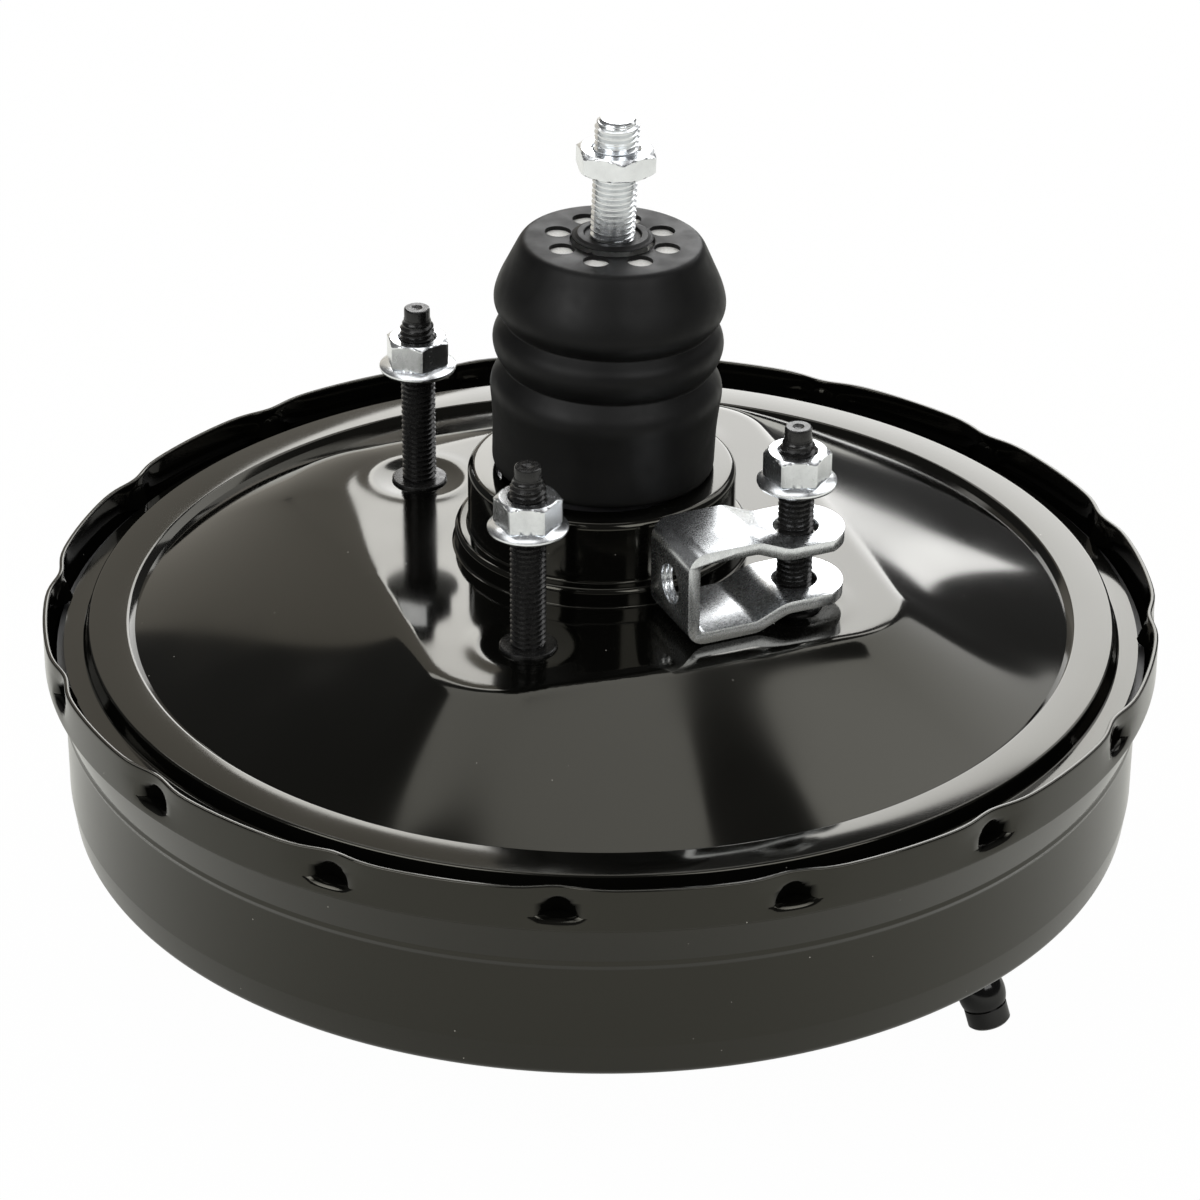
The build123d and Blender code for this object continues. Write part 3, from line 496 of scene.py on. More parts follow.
def satin_nylon(name):
    """Satin black nylon with a soft moulded sheen."""
    shader = Shader(name, (0.002, 0.002, 0.002), 0.14, IOR=1.45)
    shader.rough(shader.ranged(shader.noise(3, 3), 0.1, 0.2, 0.3, 0.7))
    shader.bump(shader.noise(1.0, 3), 0.05, 0.02)
    return shader.material


def natural_nylon(name):
    """Undyed nylon of the guide bush."""
    shader = Shader(name, (0.62, 0.59, 0.5), 0.45, IOR=1.5, Subsurface_Weight=0.1, Subsurface_Scale=0.002)
    shader.mixed(shader.noise(10, 3), (0.6, 0.57, 0.48), (0.68, 0.65, 0.56))
    shader.bump(shader.noise(0.8, 3), 0.15, 0.04)
    return shader.material


def pressed_felt(name):
    """Pressed felt of the air filter."""
    shader = Shader(name, (0.85, 0.84, 0.8), 0.95, Sheen_Weight=0.3)
    fibres = shader.noise(0.5, 5, 0.75)
    shader.mixed(shader.ranged(fibres, 0, 1, 0.35, 0.65), (0.72, 0.71, 0.67), (0.9, 0.89, 0.86))
    shader.bump(fibres, 0.8, 0.3)
    return shader.material


def open_foam(name):
    """Open foam of the silencer, with painted shade in its pores."""
    shader = Shader(name, (0.16, 0.16, 0.17), 0.95)
    pores = shader.cells(1.0)
    # the pores are painted darker than the foam, as painted shade in them
    shader.mixed(shader.ranged(pores, 0, 1, 0.0, 0.7), (0.05, 0.05, 0.05), (0.2, 0.2, 0.21))
    shader.bump(pores, 0.9, 0.4)
    return shader.material


# ---------------------------------------------------------------- what a user may change
class BoosterFinish(bpy.types.PropertyGroup):
    """Colours of the booster's finishes."""

    paint: FloatVectorProperty(name="Enamel", description="Colour of the shells' enamel", subtype="COLOR",
                               size=3, default=(0.0018, 0.0018, 0.0015), min=0, max=1)
    rubber: FloatVectorProperty(name="Rubber", description="Colour of the dust boot", subtype="COLOR",
                                size=3, default=(0.003, 0.003, 0.003), min=0, max=1)
    zinc: FloatVectorProperty(name="Zinc", description="Colour of the zinc plate", subtype="COLOR",
                              size=3, default=(0.86, 0.88, 0.90), min=0, max=1)


class BoosterSizes(bpy.types.PropertyGroup):
    """Sizes of the details that the frame leaves plain."""

    stud_pitch: FloatProperty(name="Stud thread pitch", description="Rise of the M8 thread in one turn",
                              default=0.00125, min=0.0005, max=0.003, unit="LENGTH")
    rod_pitch: FloatProperty(name="Rod thread pitch", description="Rise of the M10 thread in one turn",
                             default=0.00125, min=0.0005, max=0.003, unit="LENGTH")
    crimps: IntProperty(name="Crimps", description="Tongues pressed in round the lip",
                        default=16, min=4, max=32)
    crimp_depth: FloatProperty(name="Crimp depth", description="How far each tongue is pressed in",
                               default=0.0030, min=0.0, max=0.005, unit="LENGTH")
    lip_pull: FloatProperty(name="Lip pull", description="How far the lip's edge is drawn in at each crimp",
                            default=0.0016, min=0.0, max=0.004, unit="LENGTH")


# ---------------------------------------------------------------- shells
def crimp_warp(bm, count):
    """Gathers the columns of a spun lip close together at each crimp."""
    for vert in bm.verts:
        angle = atan2(vert.co.y, vert.co.x)
        warped = angle - CRIMP_GATHER * sin(count * angle) / count
        radius = hypot(vert.co.x, vert.co.y)
        vert.co.x, vert.co.y = radius * cos(warped), radius * sin(warped)


def press_crimps(bm, sizes):
    """Presses the tongues into the lip and draws its edge in above them. It also marks the pressed-in tongues
    and the steps under them, where the enamel gets painted shade.
    """
    spacing = 2 * pi / sizes.crimps
    # mask of painted shade: where it is set, the enamel loses its gloss to stand for shade in the crimps
    painted_recess_shade = bm.verts.layers.float.new("painted_recess_shade")
    for vert in bm.verts:
        x, y, z = vert.co.x / MM, vert.co.y / MM, vert.co.z / MM
        radius = hypot(x, y)
        if radius < LIP_RADIUS - 5 or z < LIP_FOOT - 2:
            continue
        angle = atan2(y, x)
        across = (angle - spacing * round(angle / spacing)) * radius
        rise = z - (FLANGE_TOP - 0.28)
        grown = min(max((rise + 2.5) / PULL_RISE, 0), 1)
        pull = sizes.lip_pull / MM * exp(-(across / PULL_SPREAD) ** 2) * grown
        side = abs(across) / CRIMP_HALF_WIDTH
        if side < 1 and -CRIMP_LEDGE < rise < CRIMP_HEIGHT:
            tent, arch = (1 - side ** 1.5) ** 0.8, sqrt(1 - side * side)
            depth = sizes.crimp_depth / MM
            if rise > 0.01:
                fall = max(1 - rise / (CRIMP_HEIGHT * arch), 0)
                pull += depth * tent * fall
                vert[painted_recess_shade] = min(8 * fall, 1) * min(3 * tent, 1)
            else:
                pull += max(depth * tent - 0.3, 0) * (1 + rise / CRIMP_LEDGE)
                vert[painted_recess_shade] = min(3 * tent, 1) if rise < -0.1 else 0
        spread(vert, (radius - pull) / radius)


class BOOSTER_OT_front_shell(bpy.types.Operator):
    """Make the front shell: drawn drum, shoulder and crimped lip"""

    bl_idname = "booster.front_shell"
    bl_label = "Front shell"

    def execute(self, context):
        sizes = context.scene.booster_sizes
        outer = rounded(
            [(12.0, -70.0), (21.5, -70.0), (21.5, -82.0), (54.0, -82.0), (80.0, -68.0), (106.0, -68.0),
             (DRUM_WALL - 1.0, -62.4), (DRUM_WALL, -54.8), (DRUM_WALL, -35.6), (122.5, -34.3), (122.3, -33.3),
             (LIP_RADIUS - 0.7, LIP_FOOT - 0.5), (LIP_RADIUS - 0.7, LIP_FOOT), (LIP_RADIUS, LIP_FOOT + 0.1),
             (LIP_RADIUS, LIP_TOP)],
            [2.5, 2.5, 6, 6, 8, 2.5, 3.0, 1.2, 0.5, 0.5, 0.2, 0.2, 0.25], 8)
        corner = len(outer) - 1
        ledge = [(LIP_RADIUS, FLANGE_TOP - 0.3), (LIP_RADIUS, FLANGE_TOP - 0.26)]
        lip = refined([outer[corner - 1], *ledge, outer[corner]], 0.45)
        outer = refined(outer[:corner], 6.0) + lip[1:]
        lip_start = corner - 1
        inner = [p for p in beside(outer[:lip_start], DRUM_SHEET) if p[1] < LIP_FOOT - 2.5]
        thin = [(LIP_RADIUS - 1.05, z) for r, z in outer[lip_start:] if z > LIP_FOOT + 2.2]
        rim = [(LIP_RADIUS - 0.08, LIP_TOP + 0.17), (LIP_RADIUS - 0.22, LIP_TOP + 0.24),
               (LIP_RADIUS - 0.83, LIP_TOP + 0.24), (LIP_RADIUS - 0.97, LIP_TOP + 0.17)]
        bm = lathe(outer + rim + (inner + thin)[::-1], sizes.crimps * CRIMP_COLUMNS)
        crimp_warp(bm, sizes.crimps)
        press_crimps(bm, sizes)
        as_piece(bm, "front_drum", made(gloss_paint), "housing", ["front_shell"], 50)
        return {"FINISHED"}


def dome_height(radius):
    """Height of the plain dome, before its plateau is drawn."""
    t = (radius - DOME_START) / (DOME_END - DOME_START)
    return DOME_FOOT * t + 4 * DOME_BULGE * t * (1 - t)


def plateau_radius(angle):
    """How far the plateau's rounded rectangle reaches in a direction."""
    half_x, half_y, corner = PLATEAU
    low, high = 0.0, 120.0
    for _ in range(24):
        middle = (low + high) / 2
        dx = abs(middle * cos(angle)) - (half_x - corner)
        dy = abs(middle * sin(angle)) - (half_y - corner)
        outside = hypot(max(dx, 0), max(dy, 0)) + min(max(dx, dy), 0) - corner
        low, high = (low, middle) if outside > 0 else (middle, high)
    return low


def shape_plateau(bm, bulge=0.5, edge=1.6, soft_edge=7.0, soft_side=radians(132)):
    """Draws the dome from the plateau's edge down to the rim band, and dimples it round the studs.

    The edge is wider, and so softer, on one side.
    """
    reaches = {}
    for vert in bm.verts:
        x, y, z = (c / MM for c in vert.co)
        radius, angle = hypot(x, y), atan2(y, x)
        if not 35 < radius < DOME_END - 0.01 or z > 0.5:
            continue
        below = min(dome_height(radius), 0.0) - z if radius > DOME_START else -z
        key = round(angle, 4)
        reach = reaches.setdefault(key, plateau_radius(angle))
        run = DOME_END - reach
        blend = edge + soft_edge * exp(-((angle - soft_side) / 0.5) ** 2)
        past = radius - reach
        if abs(past) < blend:
            past = (past + blend) ** 2 / (4 * blend)
        past = max(past, 0)
        share = past / run
        top = share * DOME_FOOT + 4 * bulge * share * (1 - share)
        for sx, sy in STUDS:
            away = hypot(x - sx, y - sy)
            dip = DIMPLE_DEPTH * exp(-(away / DIMPLE_REACH) ** 4)
            ring = RING_HEIGHT * exp(-((away - RING_RADIUS) / RING_WIDTH) ** 2)
            top -= dip - ring
        vert.co.z = (min(top, RING_HEIGHT) - below) * MM


class BOOSTER_OT_rear_shell(bpy.types.Operator):
    """Make the rear shell: dome, mounting plateau, stepped neck and rim band"""

    bl_idname = "booster.rear_shell"
    bl_label = "Rear shell"

    def execute(self, context):
        radii = [DOME_START + (DOME_END - DOME_START) * i / DOME_STEPS for i in range(DOME_STEPS + 1)]
        dome = [(radius, dome_height(radius)) for radius in radii]
        rim = rounded([dome[-1], (107.0, -16.5), (116.0, -16.5), (116.9, FLANGE_TOP), (121.6, FLANGE_TOP)],
                      [0.9, 0.7, 0.7], 5)
        outer = refined([(36.0, 0.0), (DOME_START, 0.0)], 0.8)[:-1] + dome[:-1] + rim
        inner = beside(outer, -COVER_SHEET)
        bm = lathe(outer + inner[::-1], 400)
        shape_plateau(bm)
        as_piece(bm, "rear_cover", made(gloss_paint), "housing", ["rear_shell"], 50)
        neck = rounded([(36.0, 0.0), (33.6, 0.0), (33.0, 0.25), (33.0, 4.6), (30.0, 4.6), (30.0, NECK_TOP),
                        (24.0, NECK_TOP)], [0.3, 0.3, 1.3, 0.5, 1.6], 7)
        neck_bm = lathe(neck + beside(neck, COVER_SHEET)[::-1], 160)
        as_piece(neck_bm, "rear_neck", made(gloss_paint), "housing", (), 40)
        return {"FINISHED"}


# ---------------------------------------------------------------- fasteners
def stud_bmesh(place, pitch):
    """A pedal side stud: head, collar, thread with a tapered start, and dimpled dog point."""
    thread = screw_thread(*STUD_THREAD, pitch, 0.2, 40.6)
    end_radius = 3.05
    for vert in thread.verts:
        taper = min(max((vert.co.z / MM - 38.4) / 2.0, 0), 1)
        radius = hypot(vert.co.x, vert.co.y) / MM
        if taper > 0 and radius > end_radius:
            spread(vert, (radius - (radius - end_radius) * taper) / radius)
    tip = lathe([(0, 38.5), (2.95, 38.5), (2.95, 42.75), (2.85, 43.05), (2.6, 43.2), (1.3, 43.2),
                 (0.8, 42.85), (0, 42.75)], 64, closed=False)
    collar = lathe([(0, -3.9), (4.2, -3.9), (4.2, -0.4), (6.3, -0.4), (6.3, 0.1), (6.0, 0.32),
                    (4.6, 0.4), (0, 0.4)], 48, closed=False)
    head = lathe([(0, -7.0), (6.1, -7.0), (6.5, -6.6), (6.5, -4.0), (0, -4.0)], 40, closed=False)
    whole = joined(thread, tip, collar, head)
    shift(whole, (*place, 0))
    return whole


def cylinder_stud_bmesh(place, pitch):
    """A front side stud: thread, chamfered end, and shank with its head."""
    thread = screw_thread(*STUD_THREAD, pitch, -105.2, -82.3)
    end = lathe([(0, -106.0), (2.9, -106.0), (3.4, -105.4), (3.4, -104.0), (0, -104.0)], 40, closed=False)
    shank = lathe([(0, -82.4), (4.2, -82.4), (4.2, -78.1), (6.5, -78.1), (6.5, -75.1), (0, -75.1)], 40,
                  closed=False)
    whole = joined(thread, end, shank)
    shift(whole, (*place, 0))
    return whole


class BOOSTER_OT_studs(bpy.types.Operator):
    """Make the threaded studs on both sides"""

    bl_idname = "booster.studs"
    bl_label = "Studs"

    def execute(self, context):
        pitch = context.scene.booster_sizes.stud_pitch / MM
        studs = joined(*[stud_bmesh(place, pitch) for place in STUDS])
        as_piece(studs, "threaded_studs", made(black_phosphate), "housing",
                 ["firewall_studs"], 30)
        front = joined(*[cylinder_stud_bmesh(place, pitch) for place in CYLINDER_STUDS])
        as_piece(front, "cylinder_threads", made(black_phosphate), "housing",
                 ["cylinder_studs"], 30)
        return {"FINISHED"}


def to_hexagon(bm, half, turn, foot, chamfer):
    """Moves a lathed blank's wall, above its foot, out to a hexagon of a half width, turned by degrees.

    The chamfer gives the farthest radius at a height.
    """
    for vert in bm.verts:
        radius, z = hypot(vert.co.x, vert.co.y) / MM, vert.co.z / MM
        if z <= foot or radius < half - 0.05:
            continue
        within = (degrees(atan2(vert.co.y, vert.co.x)) - turn + 30) % 60 - 30
        wall = min(half / cos(radians(within)), chamfer(z))
        spread(vert, wall / radius)


def flange_nut(place, seat, turn):
    """A hexagon flange nut with its washer face, fillet and chamfered crown."""
    half, high = 6.5, 8.0
    crown = [(half, high - 1.3 * i / 6) for i in range(7)]
    side = [(half, high - 1.3 - 4.6 * i / 6) for i in range(1, 7)]
    outline = [(4.0, 0.4), (4.0, 7.5), (4.5, high), (5.2, high), (5.9, high)] + crown + side
    outline += [(6.52, 2.0), (7.2, 1.75), (8.2, 1.35), (8.72, 1.0), (8.75, 0.6), (8.55, 0.15), (8.2, 0.0),
                (4.5, 0.0)]
    bm = lathe(outline, 96)
    to_hexagon(bm, half, turn, 2.05, lambda z: half - 0.25 + (high - z) * 1.75)
    shift(bm, (*place, seat))
    return bm


class BOOSTER_OT_nuts(bpy.types.Operator):
    """Make the four flange nuts"""

    bl_idname = "booster.nuts"
    bl_label = "Flange nuts"

    def execute(self, context):
        nuts = [flange_nut(place, seat, turn) for place, seat, turn in zip(STUDS, NUT_SEATS, NUT_TURNS)]
        as_piece(joined(*nuts), "flange_nuts", made(bright_zinc), "housing", ["firewall_nuts"], 28)
        return {"FINISHED"}


def lock_nut():
    """The rod's hexagon nut, chamfered on both faces, at its height from the ball."""
    low, high, half = 75.6, 80.8, 8.0
    slant = 1.1
    rise = high - low
    outline = [(4.95, low + 0.5), (4.95, high - 0.5), (5.5, high), (6.5, high), (7.4, high)]
    outline += [(half, high - slant * i / 5) for i in range(6)]
    outline += [(half, high - slant - (rise - 2 * slant) * i / 4) for i in range(1, 5)]
    outline += [(half, low + slant - slant * i / 5) for i in range(1, 6)]
    outline += [(7.4, low), (6.5, low), (5.5, low)]
    nut = lathe(outline, 96)
    to_hexagon(nut, half, -8.6, 0.0, lambda z: half - 0.35 + min(high - z, z - low) * 1.75)
    return nut


class BOOSTER_OT_rod(bpy.types.Operator):
    """Make the leaning input rod and its lock nut"""

    bl_idname = "booster.rod"
    bl_label = "Input rod"

    def execute(self, context):
        pitch = context.scene.booster_sizes.rod_pitch / MM
        thread = screw_thread(*ROD_THREAD, pitch, 60.0, 87.0, 32)
        for vert in thread.verts:
            taper = min(max((vert.co.z / MM - 86.0) / 1.2, 0), 1)
            spread(vert, 1 - 0.12 * taper)
        end = lathe([(0, 86.0), (4.0, 86.0), (4.0, 87.2), (3.6, 87.6), (0, 87.6)], 40, closed=False)
        ball = [(5.0 * cos(radians(a)), 5.0 * sin(radians(a))) for a in range(-90, 46, 9)]
        shank = lathe([(0, -5.0)] + ball[1:] + [(3.5, 3.6), (4.3, 6.6), (4.3, 59.6), (4.3, 60.4), (0, 60.4)],
                      48, closed=False)
        whole = joined(thread, end, shank)
        to_rod_axis(whole)
        as_piece(whole, "threaded_rod", made(bright_zinc), "pedal_rod", ["input_rod"], 30)

        nut = lock_nut()
        to_rod_axis(nut)
        as_piece(nut, "hex_lock_nut", made(bright_zinc), "pedal_rod", ["lock_nut"], 28)
        return {"FINISHED"}


# ---------------------------------------------------------------- boot
# (radius, height from the ball) of the boot's outside, from the neck up
BOOT_LINE = [
    (24.1, 5.9), (24.7, 6.9), (24.8, 10.0), (24.9, 15.5), (25.3, 20.5), (25.7, 24.3), (25.2, 26.8),
    (23.5, 29.4), (23.1, 30.2), (23.9, 31.2), (25.0, 33.2), (25.5, 35.7), (25.0, 38.0), (23.5, 39.9),
    (23.1, 40.6), (23.9, 41.6), (25.1, 43.4), (25.5, 45.3), (25.2, 47.4), (24.3, 50.0), (22.9, 53.0),
    (21.6, 55.8), (20.5, 58.0), (19.6, 59.0), (18.6, 59.2),
]
VENTS, VENT_RADIUS, VENT_CIRCLE = 8, 2.9, 12.4


class BOOSTER_OT_boot(bpy.types.Operator):
    """Make the dust boot with its folds, lip and vent holes"""

    bl_idname = "booster.boot"
    bl_label = "Dust boot"

    def execute(self, context):
        wall = 1.8
        outer = smooth_line(BOOT_LINE, 4)
        mouth = rounded([(18.6, 59.2), (9.2, 59.2), (9.2, 58.3), (16.9, 58.3)], [0.25, 0.25], 3)
        inner = [(r - wall, z) for r, z in outer if z < 57.2][::-1]
        bm = lathe(outer + mouth[1:] + [(17.5, 57.7)] + inner, 160)
        to_rod_axis(bm)
        boot = as_piece(bm, "rubber_boot", made(moulded_rubber), None, ["dust_boot"], 40)
        vents = []
        for k in range(VENTS):
            angle = radians(10 + 360 // VENTS * k)
            vent = bar(VENT_RADIUS, 55.0, 62.0, 28, (VENT_CIRCLE * cos(angle), VENT_CIRCLE * sin(angle)))
            to_rod_axis(vent)
            vents.append(vent)
        cut(boot, vents)
        for vert in boot.data.vertices:
            if vert.co.z < (NECK_TOP + 0.3) * MM:
                vert.co.z = (NECK_TOP + 0.02) * MM
        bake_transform(boot)

        lip = lathe(rounded([(4.95, 60.05), (9.5, 60.05), (8.3, 60.4), (7.7, 60.8), (6.4, 60.8), (6.1, 60.25),
                             (4.95, 60.25)], [0.1, 0.3, 0.2, 0.2, 0.1], 3), 96)
        to_rod_axis(lip)
        as_piece(lip, "boot_lip", made(moulded_rubber), "pedal_rod", (), 40)

        section = [(9.6, 57.0), (9.6, 58.15), (15.4, 58.15), (15.4, 57.0), (9.6, 57.0)]
        pad = lathe(rounded(section, [0.3, 0.3, 0.3], 3)[:-1], 96)
        to_rod_axis(pad)
        seat = lathe([(9.7, 66.2), (15.55, 66.2), (15.55, 70.9), (9.7, 70.9)], 96)
        as_piece(joined(pad, seat), "felt_pad", made(pressed_felt),
                 "power_piston", ["filter_felt"], 40)
        return {"FINISHED"}


# ---------------------------------------------------------------- clevis
class BOOSTER_OT_clevis(bpy.types.Operator):
    """Make the pressed clevis parked on its stud"""

    bl_idname = "booster.clevis"
    bl_label = "Clevis"

    def execute(self, context):
        # the pressed strip from the side: its mid height, the half heights of its back and of its
        # ears, the plate's thickness, and how far the back stands from the stud
        middle, half, ear, plate, reach = 11.3, 11.0, 7.9, 2.75, 30.0
        side = rounded(
            [(12.7, middle + ear), (-6.0, middle + ear), (-13.0, middle + half), (-reach, middle + half),
             (-reach, middle - half), (-13.0, middle - half), (-6.0, middle - ear), (12.7, middle - ear)],
            [6, 7, 4.4, 4.4, 7, 6], 10)
        loop = side + beside(side, plate)[::-1]
        strip = slab([(u * MM, -0.0125, z * MM) for u, z in loop], (0, 0.025, 0))
        clevis = as_piece(strip, "pressed_clevis", made(clevis_zinc), None, ["clevis"], 30)

        nose = [(10.7 * cos(radians(a)), 10.7 * sin(radians(a))) for a in range(-64, 65, 4)]
        sides = [(4.69, 9.62), (0.0, 9.7), (-8, 9.65), (-reach - 2, 9.65)]
        plan = nose + sides + [(u, -v) for u, v in sides[::-1]]
        cut(clevis, [slab([(u * MM, v * MM, -0.005) for u, v in plan], (0, 0, 0.04))], "INTERSECT")

        thread = screw_thread(*CLEVIS_THREAD, -6.0, 6.0, 32)
        turn = Matrix.Translation((-reach * MM, 0, middle * MM)) @ Matrix.Rotation(pi / 2, 4, "Y")
        bmesh.ops.transform(thread, matrix=turn, verts=thread.verts)
        cut(clevis, [bar(5.1, -5, 35, 48), thread])

        edge = clevis.modifiers.new("edge", "BEVEL")
        edge.width = 0.00035
        edge.segments = 2
        edge.limit_method = "ANGLE"
        edge.angle_limit = radians(50)
        edge.use_clamp_overlap = True
        apply_modifiers(clevis)
        mesh = clevis.data
        place = Matrix.Translation((STUDS[0][0] * MM, STUDS[0][1] * MM, 0))
        mesh.transform(place @ Matrix.Rotation(radians(CLEVIS_TURN), 4, "Z"))
        for poly in mesh.polygons:
            poly.use_smooth = True
        mesh.set_sharp_from_angle(angle=radians(30))
        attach(clevis, "clevis_yoke")
        return {"FINISHED"}


# ---------------------------------------------------------------- carried-over pieces
# the frame's own pieces that stay, and their finishes
CARRIED = {
    "rear_plate": bare_steel, "front_plate": bare_steel, "guide_bush": natural_nylon,
    "tail_seal": soft_rubber, "seal_retainer": bare_steel, "front_seal": soft_rubber,
    "diaphragm": soft_rubber, "main_return_spring": spring_wire, "valve_grommet": soft_rubber,
    "valve_base": satin_nylon, "valve_nozzle": satin_nylon, "check_spring": spring_wire,
    "valve_body": moulded_plastic, "diaphragm_plate": bare_steel, "reaction_disc": soft_rubber,
    "output_rod": bright_zinc, "output_tip": bright_zinc, "rod_retainer": bare_steel,
    "stop_key": bare_steel, "poppet": soft_rubber, "poppet_holder": bare_steel,
    "poppet_spring": spring_wire, "silencer": open_foam, "rod_return_spring": spring_wire,
    "plunger": bright_zinc, "rod_collar": bare_steel, "check_disc": soft_rubber,
}
# spring, the piece that pushes it, its joint, and its full travel
SPRING_TRAVELS = [
    ("main_return_spring", "diaphragm_plate", "power_piston_slide", 30.6),
    ("rod_return_spring", "rod_collar", "valve_plunger_slide", 2.1),
    ("check_spring", "check_disc", "check_valve_lift", 1.5),
]


def shorten(spring):
    """Gives a coil spring a mesh of its own."""
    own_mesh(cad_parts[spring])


class BOOSTER_OT_carried(bpy.types.Operator):
    """Give the pieces that keep their frame shape their finishes"""

    bl_idname = "booster.carried"
    bl_label = "Inner pieces"

    def execute(self, context):
        for node, make in CARRIED.items():
            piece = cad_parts[node]
            piece.data.materials.clear()
            piece.data.materials.append(made(make))
        for spring, pushed_by, joint, travel in SPRING_TRAVELS:
            shorten(spring)
        return {"FINISHED"}


# ---------------------------------------------------------------- stage
VIEW_RIGHT = Vector((0.9475, -0.3197, 0.0))
VIEW_BACK = Vector((-0.2803, -0.8308, 0.4808))
VIEW_ROLL = 0.37
VIEW_DISTANCE = 989.78
VIEW_SLIDE = (0.343, 13.94)
VIEW_LENS = 131.72
VIEW_TURN = 18.64               # degrees from -Y towards -X at which the camera stands
LAMP_DISTANCE = 1.6             # metres
FLOOR_GAP = 0.5
FLOOR_WHITE = (0.985, 0.15)     # shares of white for the eye, and in metal, gloss and glass
ROOM_WHITE = (1.0, 0.08)


def view_direction(azimuth, elevation):
    """A direction from the object, in degrees.

    Azimuth 0 is straight behind it as the camera sees it, and positive is to the right.
    """
    heading, up = radians(90 - azimuth - VIEW_TURN), radians(elevation)
    return Vector((cos(up) * cos(heading), cos(up) * sin(heading), sin(up)))


def softbox(name, azimuth, elevation, wide, high, radiance, roll=0.0, color=(1, 1, 1)):
    """A rectangular softbox of an angular size in degrees, facing the object."""
    lamp = bpy.data.lights.new(name, "AREA")
    lamp.shape = "RECTANGLE"
    lamp.size = 2 * LAMP_DISTANCE * tan(radians(wide / 2))
    lamp.size_y = 2 * LAMP_DISTANCE * tan(radians(high / 2))
    lamp.energy = radiance * pi * lamp.size * lamp.size_y
    lamp.color = color
    holder = bpy.data.objects.new(name, lamp)
    bpy.context.scene.collection.objects.link(holder)
    away = view_direction(azimuth, elevation)
    holder.location = away * LAMP_DISTANCE
    turn = away.to_track_quat("Z", "Y").to_matrix() @ Matrix.Rotation(radians(roll), 3, "Z")
    holder.rotation_euler = turn.to_euler()


def white_for_eye(tree, plain, white, seen_share, mirrored_share):
    """Mixes white into a surface: a large share for the eye, a smaller one in metal, gloss and glass."""
    path = tree.nodes.new("ShaderNodeLightPath")
    clear = tree.nodes.new("ShaderNodeMath")
    clear.operation = "MAXIMUM"
    tree.links.new(path.outputs["Is Glossy Ray"], clear.inputs[0])
    tree.links.new(path.outputs["Is Transmission Ray"], clear.inputs[1])
    result = plain
    for share, ray in ((mirrored_share, clear.outputs[0]), (seen_share, path.outputs["Is Camera Ray"])):
        factor = tree.nodes.new("ShaderNodeMath")
        factor.operation = "MULTIPLY"
        factor.inputs[1].default_value = share
        tree.links.new(ray, factor.inputs[0])
        mix = tree.nodes.new("ShaderNodeMixShader")
        tree.links.new(factor.outputs[0], mix.inputs[0])
        tree.links.new(result, mix.inputs[1])
        tree.links.new(white, mix.inputs[2])
        result = mix.outputs[0]
    return result


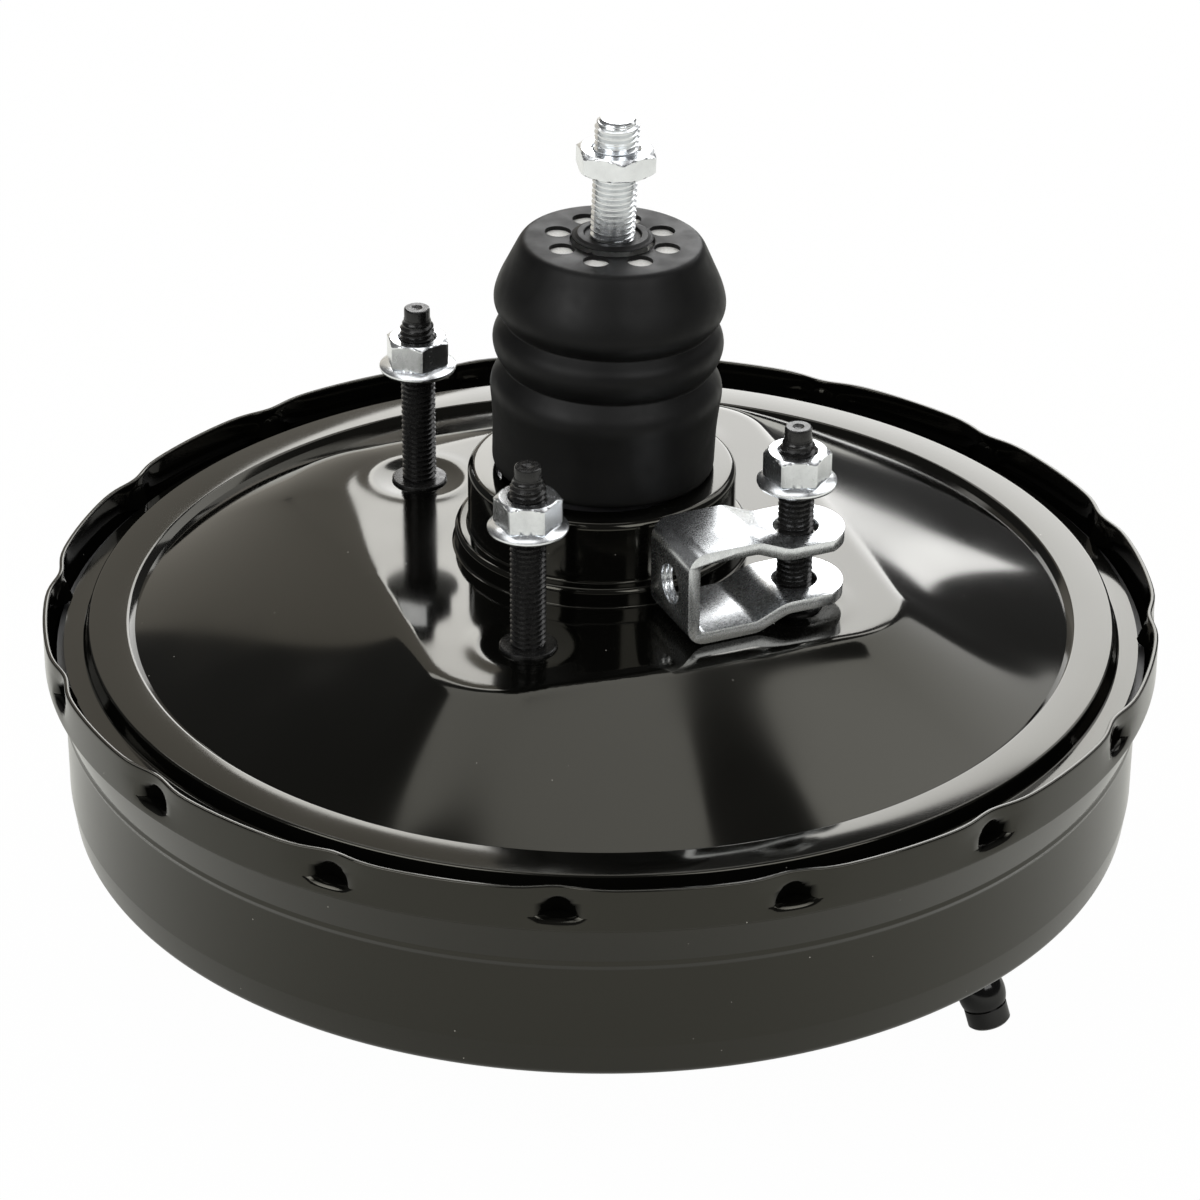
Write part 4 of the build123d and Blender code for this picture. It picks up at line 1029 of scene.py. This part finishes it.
class BOOSTER_OT_stage(bpy.types.Operator):
    """Make the pale floor, the softboxes and the camera"""

    bl_idname = "booster.stage"
    bl_label = "Stage"

    def execute(self, context):
        scene = context.scene
        floor_bm = bmesh.new()
        bmesh.ops.create_grid(floor_bm, x_segments=1, y_segments=1, size=6.0)
        low = CAD_BOX[0][2]
        bmesh.ops.translate(floor_bm, vec=(0, 0, low - FLOOR_GAP * MM), verts=floor_bm.verts)
        mesh = bpy.data.meshes.new("floor")
        floor_bm.to_mesh(mesh)
        floor_bm.free()
        floor = bpy.data.objects.new("floor", mesh)
        scene.collection.objects.link(floor)
        paper = bpy.data.materials.new("paper")
        paper.use_nodes = True
        tree = paper.node_tree
        matte = tree.nodes["Principled BSDF"]
        matte.inputs["Base Color"].default_value = (0.88, 0.88, 0.82, 1)
        matte.inputs["Roughness"].default_value = 0.9
        matte.inputs["Specular IOR Level"].default_value = 0.0
        glow = tree.nodes.new("ShaderNodeEmission")
        surface = tree.nodes["Material Output"].inputs["Surface"]
        tree.links.new(white_for_eye(tree, matte.outputs[0], glow.outputs[0], *FLOOR_WHITE), surface)
        mesh.materials.append(paper)

        world = bpy.data.worlds.new("studio")
        scene.world = world
        world.use_nodes = True
        tree = world.node_tree
        room = tree.nodes["Background"]
        room.inputs["Color"].default_value = (1, 1, 1, 1)
        room.inputs["Strength"].default_value = 0.05
        bright = tree.nodes.new("ShaderNodeBackground")
        surface = tree.nodes["World Output"].inputs["Surface"]
        tree.links.new(white_for_eye(tree, room.outputs[0], bright.outputs[0], *ROOM_WHITE), surface)

        softbox("back_softbox", 9, 21, 25, 26, 5.2, roll=-12)
        softbox("right_softbox", 48, 44, 22, 42, 2.1)
        softbox("overhead_softbox", -33, 76, 37, 29, 1.6, roll=-33)
        softbox("high_strip_softbox", -4, 47, 46, 6, 4.0)
        softbox("left_wall", -17.5, 18, 26, 50, 0.55, color=(1, 0.93, 0.8))
        softbox("front_left_softbox", -135, 35, 40, 34, 4.0)
        softbox("front_right_softbox", 140, 38, 36, 30, 3.5)

        data = bpy.data.cameras.new("camera")
        data.sensor_width = 36
        data.lens = VIEW_LENS
        data.clip_start, data.clip_end = 0.05, 20
        camera = bpy.data.objects.new("camera", data)
        scene.collection.objects.link(camera)
        back = VIEW_BACK.normalized()
        right = VIEW_RIGHT.normalized()
        up = back.cross(right)
        roll = radians(VIEW_ROLL)
        across = right * cos(roll) + up * sin(roll)
        upward = up * cos(roll) - right * sin(roll)
        place = (back * VIEW_DISTANCE - across * VIEW_SLIDE[0] - upward * VIEW_SLIDE[1]) * MM
        matrix = Matrix((across, upward, back)).transposed().to_4x4()
        matrix.translation = place
        camera.matrix_world = matrix
        scene.camera = camera
        scene.view_settings.view_transform = "Standard"
        return {"FINISHED"}


class BOOSTER_PT_panel(bpy.types.Panel):
    """The booster's operators and settings"""

    bl_idname = "BOOSTER_PT_panel"
    bl_label = "Brake booster"
    bl_space_type = "VIEW_3D"
    bl_region_type = "UI"
    bl_category = "Booster"

    def draw(self, context):
        for operator in OPERATORS:
            self.layout.operator(operator.bl_idname)
        for group in (context.scene.booster_finish, context.scene.booster_sizes):
            for name in group.bl_rna.properties.keys():
                if name not in ("rna_type", "name"):
                    self.layout.prop(group, name)


OPERATORS = (
    BOOSTER_OT_front_shell, BOOSTER_OT_rear_shell, BOOSTER_OT_studs, BOOSTER_OT_nuts, BOOSTER_OT_rod,
    BOOSTER_OT_boot, BOOSTER_OT_clevis, BOOSTER_OT_carried, BOOSTER_OT_stage,
)
CLASSES = (BoosterFinish, BoosterSizes, *OPERATORS, BOOSTER_PT_panel)


def register():
    """Registers the operators, the panel and the settings."""
    for item in CLASSES:
        bpy.utils.register_class(item)
    bpy.types.Scene.booster_finish = PointerProperty(type=BoosterFinish)
    bpy.types.Scene.booster_sizes = PointerProperty(type=BoosterSizes)


def unregister():
    """Takes them away again."""
    del bpy.types.Scene.booster_sizes
    del bpy.types.Scene.booster_finish
    for item in reversed(CLASSES):
        bpy.utils.unregister_class(item)


def main():
    """Makes every piece and the stage."""
    register()
    bpy.ops.booster.front_shell()
    bpy.ops.booster.rear_shell()
    bpy.ops.booster.studs()
    bpy.ops.booster.nuts()
    bpy.ops.booster.rod()
    bpy.ops.booster.boot()
    bpy.ops.booster.clevis()
    bpy.ops.booster.carried()
    bpy.ops.booster.stage()


if __name__ == "__main__":
    main()
